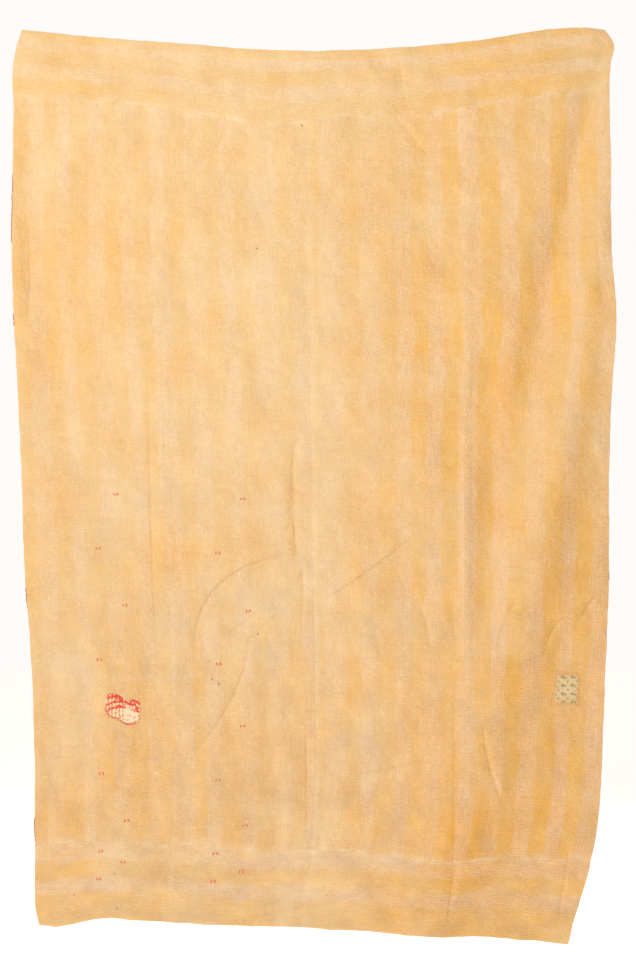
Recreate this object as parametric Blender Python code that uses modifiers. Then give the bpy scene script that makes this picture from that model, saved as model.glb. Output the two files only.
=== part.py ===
"""A hand-quilted kantha cotton quilt, hanging free from its two top corners.

Metres, +Z up. The origin is the middle of the top edge, and the front faces -Y.

Five pieces are sewn together: a wide main panel between two end bands, and two
small mending patches on the front of the main panel. All of them follow one
hanging surface. Its outline comes from the tables of levels and sides, and its
depth from the tables of creases and folds. A drop is a distance below the origin.
"""

import bisect
import math
from collections import namedtuple

import bmesh
import bpy
import numpy

# Driving sizes.
QUILT_THICKNESS = 0.0025
PATCH_THICKNESS = 0.0008
SEAM_GAP = 0.0004
PATCH_LIFT = 0.0006
WIDEST_COLUMN = 0.030
CLOSER_COLUMN = 0.019
MAIN_ROWS = 50
TOP_BAND_ROWS = 4
BOTTOM_BAND_ROWS = 5
PATCH_CELLS = 10

# How far in front of the cloth a patch is drawn flat, before it is laid on it.
PATCH_START = 0.2

# The levels of the two long edges and the two seams, as drops, across the quilt:
# 0 is the left edge and 1 the right one. The cloth sags between its corners.
Level = namedtuple("Level", "across top_edge top_seam bottom_seam hem")
LEVELS = [
    Level(0.0, -0.051, 0.113, 1.928, 2.124),
    Level(0.1, -0.037, 0.115, 1.913, 2.105),
    Level(0.2, -0.025, 0.130, 1.919, 2.102),
    Level(0.3, -0.016, 0.150, 1.925, 2.113),
    Level(0.4, -0.004, 0.173, 1.940, 2.119),
    Level(0.5, 0.000, 0.167, 1.935, 2.126),
    Level(0.6, -0.005, 0.154, 1.943, 2.127),
    Level(0.7, -0.015, 0.150, 1.955, 2.131),
    Level(0.8, -0.030, 0.122, 1.949, 2.135),
    Level(0.9, -0.051, 0.104, 1.961, 2.161),
    Level(1.0, -0.048, 0.076, 1.971, 2.190),
]

# The two side edges, as x at each drop. They draw in towards the hem.
Side = namedtuple("Side", "drop left right")
SIDES = [
    Side(-0.052, -0.699, 0.710),
    Side(-0.020, -0.710, 0.732),
    Side(0.030, -0.720, 0.726),
    Side(0.140, -0.720, 0.722),
    Side(0.265, -0.722, 0.726),
    Side(0.480, -0.724, 0.726),
    Side(0.655, -0.719, 0.739),
    Side(0.805, -0.711, 0.729),
    Side(1.050, -0.699, 0.725),
    Side(1.245, -0.694, 0.725),
    Side(1.425, -0.681, 0.719),
    Side(1.570, -0.674, 0.715),
    Side(1.730, -0.671, 0.713),
    Side(1.890, -0.671, 0.705),
    Side(1.960, -0.670, 0.695),
    Side(2.030, -0.672, 0.681),
    Side(2.085, -0.671, 0.667),
    Side(2.130, -0.661, 0.654),
    Side(2.190, -0.650, 0.640),
]

# The sharp lines left by storing the quilt folded in four along its length.
# They follow the threads, so each keeps its place across.
Crease = namedtuple("Crease", "name across rise half_width")
CREASES = [
    Crease("left_quarter", 0.244, 0.0020, 0.010),
    Crease("centre", 0.492, -0.0045, 0.011),
    Crease("right_quarter", 0.753, 0.0030, 0.010),
]

# The soft folds of the hanging cloth, each along a bent path of (x, drop)
# points. A rise stands forward and a negative one is a hollow. The rises and
# half widths are those at the start, middle and end of the path.
Fold = namedtuple("Fold", "name start middle end rises half_widths")
FOLDS = [
    Fold(
        "right_tension", (0.69, 0.06), (0.575, 0.58), (0.42, 1.36),
        rises=(-0.008, -0.022, -0.006), half_widths=(0.035, 0.050, 0.060),
    ),
    Fold(
        "left_tension", (-0.69, 0.10), (-0.645, 0.62), (-0.53, 1.16),
        rises=(-0.005, -0.014, -0.003), half_widths=(0.035, 0.050, 0.055),
    ),
    Fold(
        "right_long_ridge", (0.70, 0.42), (0.555, 1.17), (0.315, 2.16),
        rises=(0.010, 0.026, 0.046), half_widths=(0.045, 0.070, 0.110),
    ),
    Fold(
        "right_edge_hollow", (0.70, 0.90), (0.66, 1.13), (0.585, 1.52),
        rises=(-0.004, -0.014, -0.003), half_widths=(0.040, 0.050, 0.050),
    ),
    Fold(
        "centre_hollow", (0.00, 1.00), (-0.02, 1.62), (-0.03, 2.16),
        rises=(-0.003, -0.014, -0.020), half_widths=(0.090, 0.110, 0.120),
    ),
    Fold(
        "left_low_ridge", (-0.53, 1.22), (-0.475, 1.70), (-0.42, 2.16),
        rises=(0.004, 0.017, 0.022), half_widths=(0.070, 0.075, 0.085),
    ),
    Fold(
        "low_middle_ridge", (0.095, 1.66), (0.105, 1.90), (0.11, 2.16),
        rises=(0.003, 0.010, 0.014), half_widths=(0.050, 0.050, 0.055),
    ),
    Fold(
        "right_hand_pull", (0.68, 0.02), (0.58, 0.045), (0.47, 0.085),
        rises=(0.006, 0.005, 0.002), half_widths=(0.016, 0.022, 0.028),
    ),
    Fold(
        "left_hand_pull", (-0.68, 0.03), (-0.58, 0.055), (-0.44, 0.09),
        rises=(0.005, 0.004, 0.002), half_widths=(0.016, 0.024, 0.030),
    ),
    Fold(
        "belly", (0.00, 0.60), (-0.16, 1.00), (-0.24, 1.50),
        rises=(0.010, 0.014, 0.008), half_widths=(0.260, 0.300, 0.280),
    ),
]
PATH_STEPS = 24

# Each side swings back beyond its long ridge, the more the lower it is: a slope
# at the hem, reached softly, that starts at a drop.
Swing = namedtuple("Swing", "ridge direction start_drop slope_at_hem soft_start")
SWINGS = [
    Swing("right_long_ridge", 1.0, 0.70, 0.42, 0.09),
    Swing("left_low_ridge", -1.0, 1.10, 0.20, 0.08),
]
HEM_DROP = 2.14

# The red patch: the reach of its cut edge from its middle, at each turn in
# degrees, counted from +X towards +Z. The sage patch is four uneven corners.
Reach = namedtuple("Reach", "turn reach")
RED_PATCH_MIDDLE = (-0.4525, 1.590)
RED_PATCH_EDGE = [
    Reach(-20, 0.041),
    Reach(4, 0.039),
    Reach(28, 0.041),
    Reach(39, 0.035),
    Reach(55, 0.022),
    Reach(100, 0.029),
    Reach(135, 0.050),
    Reach(160, 0.043),
    Reach(183, 0.043),
    Reach(202, 0.039),
    Reach(239, 0.028),
    Reach(287, 0.041),
    Reach(309, 0.046),
    Reach(340, 0.041),
]
Corner = namedtuple("Corner", "x z")
SAGE_PATCH_MIDDLE = (0.6205, 1.545)
SAGE_PATCH_CORNERS = {
    "upper_left": Corner(-0.026, 0.036),
    "upper_right": Corner(0.030, 0.034),
    "lower_left": Corner(-0.033, -0.032),
    "lower_right": Corner(0.028, -0.039),
}

# Linear colours and roughness of the cloths.
COTTONS = {
    "main_panel": ((0.78, 0.56, 0.30), 0.92),
    "top_band": ((0.80, 0.59, 0.33), 0.92),
    "bottom_band": ((0.72, 0.50, 0.26), 0.92),
    "red_print_patch": ((0.70, 0.20, 0.13), 0.90),
    "sage_print_patch": ((0.42, 0.41, 0.30), 0.90),
}


def read_table(table, column, at):
    """A column of a table at a value of its first column, on a smooth curve."""
    keys = [row[0] for row in table]
    values = [getattr(row, column) for row in table]
    slopes = numpy.gradient(values, keys)
    low = min(max(bisect.bisect_right(keys, at) - 1, 0), len(keys) - 2)
    span = keys[low + 1] - keys[low]
    share = (at - keys[low]) / span
    rest = 1 - share
    ends = values[low] * rest**2 * (1 + 2 * share) + values[low + 1] * share**2 * (1 + 2 * rest)
    bends = slopes[low] * share * rest**2 - slopes[low + 1] * share**2 * rest
    return ends + span * bends


def between(low, high, share):
    return low + (high - low) * share


def bent_through(start, middle, end, share):
    """The value at a share of the way along a parabola through three values."""
    pull = 2 * middle - (start + end) / 2
    return (1 - share) ** 2 * start + 2 * share * (1 - share) * pull + share**2 * end


def nearest_on_path(fold, x, drop):
    """The distance from a fold's path, and the share of the way along it."""
    nearest = (math.inf, 0.0)
    marks = [step / PATH_STEPS for step in range(PATH_STEPS + 1)]
    stops = [
        tuple(bent_through(*ends, mark) for ends in zip(fold.start, fold.middle, fold.end))
        for mark in marks
    ]
    for index, (here, there) in enumerate(zip(stops, stops[1:])):
        run = (there[0] - here[0], there[1] - here[1])
        along = (x - here[0]) * run[0] + (drop - here[1]) * run[1]
        along = min(max(along / (run[0] ** 2 + run[1] ** 2), 0.0), 1.0)
        foot = (between(here[0], there[0], along), between(here[1], there[1], along))
        away = math.hypot(x - foot[0], drop - foot[1])
        nearest = min(nearest, (away, (index + along) / PATH_STEPS))
    return nearest


def fold_rise(fold, x, drop):
    away, share = nearest_on_path(fold, x, drop)
    half_width = bent_through(*fold.half_widths, share)
    return bent_through(*fold.rises, share) * math.exp(-((away / half_width) ** 2))


def path_x(fold, drop):
    """Where a fold's path crosses a drop."""
    share = min(max((drop - fold.start[1]) / (fold.end[1] - fold.start[1]), 0.0), 1.0)
    return bent_through(fold.start[0], fold.middle[0], fold.end[0], share)


def swing_back(swing, x, drop):
    ridge = next(fold for fold in FOLDS if fold.name == swing.ridge)
    beyond = max(swing.direction * (x - path_x(ridge, drop)), 0.0)
    fall = max((drop - swing.start_drop) / (HEM_DROP - swing.start_drop), 0.0)
    return swing.slope_at_hem * fall * beyond**2 / (beyond + swing.soft_start)


def crease_rise(across):
    """The stored-fold lines, in shares of the width."""
    return sum(
        crease.rise * math.exp(-(((across - crease.across) / crease.half_width) ** 2))
        for crease in CREASES
    )


def stand_forward(x, drop):
    """How far the soft folds bring the cloth forward at a place."""
    rise = sum(fold_rise(fold, x, drop) for fold in FOLDS)
    return rise - sum(swing_back(swing, x, drop) for swing in SWINGS)


def hanging_point(across, upper, lower, share, trim=0.0):
    """A point of the cloth's middle layer: a share of the way down from one level
    to another, moved down by a trim."""

    def drop_at(place):
        levels = (read_table(LEVELS, upper, place), read_table(LEVELS, lower, place))
        return between(*levels, share) + trim

    left = read_table(SIDES, "left", drop_at(0.0))
    right = read_table(SIDES, "right", drop_at(1.0))
    x = between(left, right, across)
    drop = drop_at(across)
    return (x, -stand_forward(x, drop) - crease_rise(across), -drop)


def column_places():
    """The places across of the mesh's columns: even steps between the creases,
    with a column on each crease and one on either side of it. The steps are
    closer beyond the right crease, where the long slanting folds lie."""
    stops = [0.0, 1.0]
    for crease in CREASES:
        stops += [crease.across + side * crease.half_width for side in (-1.4, 0.0, 1.4)]
    stops.sort()
    places = [stops[0]]
    for here, there in zip(stops, stops[1:]):
        widest = CLOSER_COLUMN if here > CREASES[-1].across else WIDEST_COLUMN
        steps = math.ceil((there - here) / widest)
        places += [between(here, there, step / steps) for step in range(1, steps + 1)]
    return places


def cotton(name):
    """A plain woven cotton, for one piece."""
    colour, roughness = COTTONS[name]
    material = bpy.data.materials.new(name + "_cotton")
    material.use_nodes = True
    shader = material.node_tree.nodes["Principled BSDF"]
    shader.inputs["Base Color"].default_value = (*colour, 1.0)
    shader.inputs["Roughness"].default_value = roughness
    shader.inputs["Metallic"].default_value = 0.0
    return material


def cloth_piece(name, columns, rows, place, thickness, collection):
    """A closed sheet: a grid whose points are placed by column and row, counted
    from the lower left, and given its thickness about them."""
    mesh = bpy.data.meshes.new(name)
    cage = bmesh.new()
    bmesh.ops.create_grid(cage, x_segments=columns, y_segments=rows, size=1.0)
    for vertex in cage.verts:
        column = round((vertex.co.x + 1) / 2 * columns)
        row = round((vertex.co.y + 1) / 2 * rows)
        vertex.co = place(column, row)
    cage.to_mesh(mesh)
    cage.free()
    mesh.shade_smooth()
    mesh.materials.append(cotton(name))
    piece = bpy.data.objects.new(name, mesh)
    collection.objects.link(piece)
    layers = piece.modifiers.new("Stitched layers", "SOLIDIFY")
    layers.thickness = thickness
    layers.offset = 0.0
    return piece


def add_panel(name, upper, lower, rows, trims, collection):
    """A panel between two levels, trimmed at a seam by half the seam's gap."""
    places = column_places()
    top_trim, low_trim = trims

    def place(column, row):
        share = 1 - row / rows
        trim = between(top_trim, low_trim, share)
        return hanging_point(places[column], upper, lower, share, trim)

    return cloth_piece(name, len(places) - 1, rows, place, QUILT_THICKNESS, collection)


def lay_on(patch, panel):
    """Lays a flat patch on the front of a panel, a small lift away from it, and
    leaves its thickness as the last modifier."""
    press = patch.modifiers.new("Lie on the panel", "SHRINKWRAP")
    press.target = panel
    press.wrap_method = "PROJECT"
    press.use_project_y = True
    press.use_positive_direction = True
    press.use_negative_direction = False
    press.offset = PATCH_LIFT + PATCH_THICKNESS / 2
    patch.modifiers.move(len(patch.modifiers) - 1, 0)


def add_red_patch(panel, collection):
    """The grid's square rings are drawn out to the patch's uneven edge."""

    def place(column, row):
        a = 2 * column / PATCH_CELLS - 1
        b = 2 * row / PATCH_CELLS - 1
        turn = math.degrees(math.atan2(b, a))
        if turn < RED_PATCH_EDGE[0].turn:
            turn += 360
        reach = read_table(RED_PATCH_EDGE, "reach", turn) * max(abs(a), abs(b))
        x = RED_PATCH_MIDDLE[0] + reach * math.cos(math.radians(turn))
        drop = RED_PATCH_MIDDLE[1] - reach * math.sin(math.radians(turn))
        return (x, -PATCH_START, -drop)

    patch = cloth_piece("red_print_patch", PATCH_CELLS, PATCH_CELLS, place, PATCH_THICKNESS, collection)
    lay_on(patch, panel)


def add_sage_patch(panel, collection):
    corners = SAGE_PATCH_CORNERS

    def place(column, row):
        a = column / PATCH_CELLS
        b = row / PATCH_CELLS
        low = [between(*pair, a) for pair in zip(corners["lower_left"], corners["lower_right"])]
        high = [between(*pair, a) for pair in zip(corners["upper_left"], corners["upper_right"])]
        x = SAGE_PATCH_MIDDLE[0] + between(low[0], high[0], b)
        drop = SAGE_PATCH_MIDDLE[1] - between(low[1], high[1], b)
        return (x, -PATCH_START, -drop)

    patch = cloth_piece("sage_print_patch", PATCH_CELLS, PATCH_CELLS, place, PATCH_THICKNESS, collection)
    lay_on(patch, panel)


def main():
    for thing in list(bpy.data.objects):
        bpy.data.objects.remove(thing)
    quilt = bpy.data.collections.new("kantha_quilt")
    bpy.context.scene.collection.children.link(quilt)
    half_gap = SEAM_GAP / 2
    add_panel("top_band", "top_edge", "top_seam", TOP_BAND_ROWS, (0.0, -half_gap), quilt)
    main_panel = add_panel("main_panel", "top_seam", "bottom_seam", MAIN_ROWS, (half_gap, -half_gap), quilt)
    add_panel("bottom_band", "bottom_seam", "hem", BOTTOM_BAND_ROWS, (half_gap, 0.0), quilt)
    add_red_patch(main_panel, quilt)
    add_sage_patch(main_panel, quilt)


main()
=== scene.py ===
# %% [markdown]
# # A kantha quilt, hung by its top corners
# A kantha is made of worn cotton saris, laid in layers and held together by long
# rows of hand running stitch. Its charm is in what is uneven: faded stripes,
# puckered rows, folds kept from years in a cupboard, and small mending patches.
#
# This lesson dresses a plain solid model of the quilt. The solids give the size
# and the folds. What follows gives the cloth its puckers and creases, lays about
# seventy thousand stitches on it, mends it, and dyes it.
#
# Lengths are metres. The origin is the middle of the top edge, +Z is up and the
# front faces -Y. A drop is a distance below the origin.

# %% Load the solid model
import math
from collections import namedtuple

import bpy
import numpy as np
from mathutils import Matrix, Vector


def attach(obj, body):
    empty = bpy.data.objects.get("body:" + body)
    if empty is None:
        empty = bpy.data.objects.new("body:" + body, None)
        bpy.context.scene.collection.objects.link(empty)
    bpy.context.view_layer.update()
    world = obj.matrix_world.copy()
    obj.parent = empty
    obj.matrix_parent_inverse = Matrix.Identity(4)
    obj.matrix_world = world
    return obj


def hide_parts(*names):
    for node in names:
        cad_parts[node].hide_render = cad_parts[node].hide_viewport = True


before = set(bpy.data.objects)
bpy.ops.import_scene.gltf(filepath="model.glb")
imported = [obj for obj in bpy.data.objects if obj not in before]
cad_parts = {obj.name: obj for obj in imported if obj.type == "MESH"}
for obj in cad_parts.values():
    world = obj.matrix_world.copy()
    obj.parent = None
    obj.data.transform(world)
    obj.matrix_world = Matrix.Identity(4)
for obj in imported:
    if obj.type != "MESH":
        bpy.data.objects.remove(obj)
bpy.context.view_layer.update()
print("solid pieces:", sorted(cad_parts))

# %% [markdown]
# ## Camera
# The quilt is tall, so the long side of the picture is its height. A camera
# 4.2 m away, level with the middle of the cloth, shows it with little
# perspective. The lens follows from the height that the picture takes in.

# %% Camera
CAMERA_AWAY = 4.2
CAMERA_SIDE = 0.017
CAMERA_DROP = 1.036
PICTURE_HEIGHT = 2.318
SENSOR = 36.0

camera = bpy.data.objects.new("camera", bpy.data.cameras.new("camera"))
camera.location = (CAMERA_SIDE, -CAMERA_AWAY, -CAMERA_DROP)
camera.rotation_euler = (math.radians(90), 0.0, 0.0)
camera.data.sensor_width = SENSOR
camera.data.lens = SENSOR * CAMERA_AWAY / PICTURE_HEIGHT
bpy.context.scene.collection.objects.link(camera)
bpy.context.scene.camera = camera
print("lens of", round(camera.data.lens, 1), "mm")

# %% [markdown]
# ## The hanging surface
# Cloth held by two corners sags between them, and its weight pulls long folds
# down from each hand. A cloth simulation could find such folds, but not these
# ones. They are written down instead, as short tables: the levels of the edges
# and seams across the quilt, the two side edges, and a row for each fold with
# its path, its rise and its width. The solids use nearly the same tables, so
# the cloth lies close over them.

# %% Tables of the outline
QUILT_WIDTH = 1.45
Level = namedtuple("Level", "across top_edge top_seam bottom_seam hem")
LEVELS = [
    Level(0.0, -0.051, 0.113, 1.928, 2.124),
    Level(0.03, -0.0467, 0.1132, 1.9228, 2.1245),
    Level(0.1, -0.037, 0.115, 1.913, 2.105),
    Level(0.14, -0.0319, 0.1198, 1.9139, 2.0965),
    Level(0.2, -0.025, 0.130, 1.919, 2.102),
    Level(0.3, -0.016, 0.150, 1.925, 2.113),
    Level(0.4, -0.004, 0.173, 1.940, 2.119),
    Level(0.5, 0.000, 0.167, 1.935, 2.124),
    Level(0.6, -0.005, 0.154, 1.943, 2.127),
    Level(0.7, -0.015, 0.150, 1.955, 2.130),
    Level(0.8, -0.030, 0.122, 1.951, 2.145),
    Level(0.9, -0.051, 0.104, 1.963, 2.168),
    Level(0.95, -0.056, 0.091, 1.968, 2.180),
    Level(1.0, -0.052, 0.076, 1.973, 2.194),
]
Side = namedtuple("Side", "drop left right")
SIDES = [
    Side(-0.052, -0.699, 0.710),
    Side(-0.020, -0.710, 0.732),
    Side(0.030, -0.720, 0.726),
    Side(0.140, -0.720, 0.722),
    Side(0.265, -0.722, 0.726),
    Side(0.480, -0.724, 0.726),
    Side(0.655, -0.719, 0.739),
    Side(0.805, -0.711, 0.729),
    Side(1.050, -0.699, 0.725),
    Side(1.245, -0.694, 0.725),
    Side(1.425, -0.681, 0.719),
    Side(1.570, -0.674, 0.715),
    Side(1.730, -0.671, 0.713),
    Side(1.890, -0.671, 0.705),
    Side(1.960, -0.670, 0.695),
    Side(2.030, -0.672, 0.681),
    Side(2.085, -0.671, 0.667),
    Side(2.130, -0.661, 0.654),
    Side(2.190, -0.650, 0.640),
]

# %% Tables of the folds
# The stored creases follow the threads, so each keeps its place across.
Crease = namedtuple("Crease", "name across rise half_width line")
CREASES = [
    Crease("left_quarter", 0.244, 0.0020, 0.010, 0.25),
    Crease("centre", 0.492, -0.0038, 0.009, 0.75),
    Crease("right_quarter", 0.753, 0.0036, 0.008, 0.30),
]
# Each is deeper in the middle of the quilt, where it was folded and sat on.
CreaseShare = namedtuple("CreaseShare", "drop left_quarter centre right_quarter")
CREASE_SHARES = [
    CreaseShare(-0.06, 0.3, 0.1, 0.3),
    CreaseShare(0.55, 0.7, 0.2, 0.5),
    CreaseShare(0.85, 1.0, 0.5, 1.1),
    CreaseShare(1.10, 1.0, 0.6, 1.6),
    CreaseShare(1.40, 1.0, 0.6, 1.5),
    CreaseShare(1.65, 0.8, 0.7, 0.8),
    CreaseShare(2.19, 0.6, 0.7, 0.9),
]

# %% Table of the soft folds
# A soft fold runs on a bent path of (x, drop) points. A rise stands forward.
Fold = namedtuple("Fold", "name start middle end rises half_widths")
FOLDS = [
    Fold(
        "right_tension", (0.69, 0.06), (0.575, 0.58), (0.42, 1.36),
        rises=(-0.008, -0.022, -0.006), half_widths=(0.035, 0.050, 0.060),
    ),
    Fold(
        "left_tension", (-0.69, 0.10), (-0.645, 0.62), (-0.53, 1.16),
        rises=(-0.005, -0.014, -0.003), half_widths=(0.035, 0.050, 0.055),
    ),
    Fold(
        "right_long_ridge", (0.70, 0.42), (0.555, 1.17), (0.255, 2.16),
        rises=(0.010, 0.026, 0.042), half_widths=(0.045, 0.070, 0.110),
    ),
    Fold(
        "right_edge_hollow", (0.70, 0.90), (0.66, 1.13), (0.585, 1.52),
        rises=(-0.004, -0.009, -0.003), half_widths=(0.040, 0.050, 0.050),
    ),
    Fold(
        "beside_right_ridge", (0.430, 0.72), (0.434, 1.06), (0.425, 1.42),
        rises=(-0.002, -0.010, -0.003), half_widths=(0.030, 0.030, 0.030),
    ),
    Fold(
        "right_edge_turn", (0.775, 0.82), (0.765, 1.06), (0.750, 1.30),
        rises=(-0.005, -0.020, -0.006), half_widths=(0.050, 0.060, 0.050),
    ),
    Fold(
        "centre_hollow", (0.00, 1.00), (-0.02, 1.62), (-0.03, 2.16),
        rises=(-0.003, -0.010, -0.013), half_widths=(0.090, 0.110, 0.120),
    ),
    Fold(
        "left_low_ridge", (-0.53, 1.22), (-0.475, 1.70), (-0.42, 2.16),
        rises=(0.004, 0.013, 0.016), half_widths=(0.070, 0.075, 0.085),
    ),
    Fold(
        "low_middle_ridge", (0.060, 1.66), (0.055, 1.90), (0.045, 2.16),
        rises=(0.003, 0.008, 0.010), half_widths=(0.050, 0.050, 0.055),
    ),
    Fold(
        "right_hand_pull", (0.68, 0.02), (0.58, 0.045), (0.47, 0.085),
        rises=(0.006, 0.005, 0.002), half_widths=(0.016, 0.022, 0.028),
    ),
    Fold(
        "left_hand_pull", (-0.68, 0.03), (-0.58, 0.055), (-0.44, 0.09),
        rises=(0.005, 0.004, 0.002), half_widths=(0.016, 0.024, 0.030),
    ),
    Fold(
        "belly", (0.00, 0.60), (-0.16, 1.00), (-0.24, 1.50),
        rises=(0.010, 0.010, 0.004), half_widths=(0.260, 0.300, 0.280),
    ),
]
# Each side swings back beyond its long ridge, the more the lower it is.
Swing = namedtuple("Swing", "ridge direction start_drop slope_at_hem soft_start")
SWINGS = [
    Swing("right_long_ridge", 1.0, 0.70, 0.40, 0.13),
    Swing("left_low_ridge", -1.0, 1.10, 0.16, 0.08),
]
HEM_DROP = 2.14
PATH_STEPS = 24

# %% Reading the tables
def read_table(table, column, at):
    """A column of a table at values of its first column, on a smooth curve."""
    keys = np.array([row[0] for row in table])
    values = np.array([getattr(row, column) for row in table])
    slopes = np.gradient(values, keys)
    low = np.clip(np.searchsorted(keys, at, side="right") - 1, 0, len(keys) - 2)
    span = keys[low + 1] - keys[low]
    share = (at - keys[low]) / span
    rest = 1 - share
    ends = values[low] * rest**2 * (1 + 2 * share) + values[low + 1] * share**2 * (1 + 2 * rest)
    bends = slopes[low] * share * rest**2 - slopes[low + 1] * share**2 * rest
    return ends + span * bends


def between(low, high, share):
    """The value at a share of the way from one value to another."""
    return low + (high - low) * share


def bent_through(start, middle, end, share):
    """The value at a share of the way along a parabola through three values."""
    pull = 2 * middle - (start + end) / 2
    return (1 - share) ** 2 * start + 2 * share * (1 - share) * pull + share**2 * end


def bend_of(line):
    """The three points that a fold or a small crease runs through."""
    return line.start, line.middle, line.end


def nearest_on_path(bend, x, drop):
    """The distance from a bent path, below zero on its left, and the share of the way along it."""
    marks = np.linspace(0, 1, PATH_STEPS + 1)
    stops = np.stack([bent_through(*axis, marks) for axis in zip(*bend)])
    nearest = np.full(np.shape(x), np.inf)
    side = np.ones(np.shape(x))
    share = np.zeros(np.shape(x))
    for step in range(PATH_STEPS):
        here = stops[:, step]
        run = stops[:, step + 1] - here
        along = ((x - here[0]) * run[0] + (drop - here[1]) * run[1]) / (run @ run)
        along = np.clip(along, 0, 1)
        away = np.hypot(x - here[0] - along * run[0], drop - here[1] - along * run[1])
        closer = away < nearest
        nearest = np.where(closer, away, nearest)
        share = np.where(closer, (step + along) / PATH_STEPS, share)
        turn = (x - here[0]) * run[1] - (drop - here[1]) * run[0]
        side = np.where(closer, np.where(turn < 0, -1, 1), side)
    return nearest * side, share


# %% The shape of the folds
def fold_rise(fold, x, drop):
    """How far one soft fold stands forward."""
    away, share = nearest_on_path(bend_of(fold), x, drop)
    half_width = bent_through(*fold.half_widths, share)
    return bent_through(*fold.rises, share) * np.exp(-((away / half_width) ** 2))


def swing_back(swing, x, drop):
    """How far the cloth beyond a long ridge swings back."""
    ridge = next(fold for fold in FOLDS if fold.name == swing.ridge)
    share = np.clip((drop - ridge.start[1]) / (ridge.end[1] - ridge.start[1]), 0, 1)
    ridge_x = bent_through(ridge.start[0], ridge.middle[0], ridge.end[0], share)
    beyond = np.maximum(swing.direction * (x - ridge_x), 0)
    fall = np.maximum((drop - swing.start_drop) / (HEM_DROP - swing.start_drop), 0)
    return swing.slope_at_hem * fall * beyond**2 / (beyond + swing.soft_start)


def stand_forward(x, drop):
    """How far the soft folds bring the cloth forward."""
    rise = sum(fold_rise(fold, x, drop) for fold in FOLDS)
    return rise - sum(swing_back(swing, x, drop) for swing in SWINGS)


def crease_rise(across, drop):
    """How far the stored creases stand forward."""
    return sum(
        crease.rise * read_table(CREASE_SHARES, crease.name, drop)
        * np.exp(-(((across - crease.across) / crease.half_width) ** 2))
        for crease in CREASES
    )


def front_place(across, upper, lower, share):
    """The x and drop of a place, a share of the way down between two levels."""

    def drop_at(place):
        return between(read_table(LEVELS, upper, place), read_table(LEVELS, lower, place), share)

    left = read_table(SIDES, "left", drop_at(0.0))
    right = read_table(SIDES, "right", drop_at(1.0))
    return between(left, right, across), drop_at(across)


# %% [markdown]
# ## Small creases and puckers
# A quilt this soft keeps sharp little creases where it was last crumpled, and
# each row of stitches draws the cloth up a little, so that it is never flat.
# The creases are a table of narrow troughs, each with a raised lip on one
# side. The puckers are smooth random bumps. Both belong in the mesh, because a
# bump map would vanish at the quilt's outline and in a side view.

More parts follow.
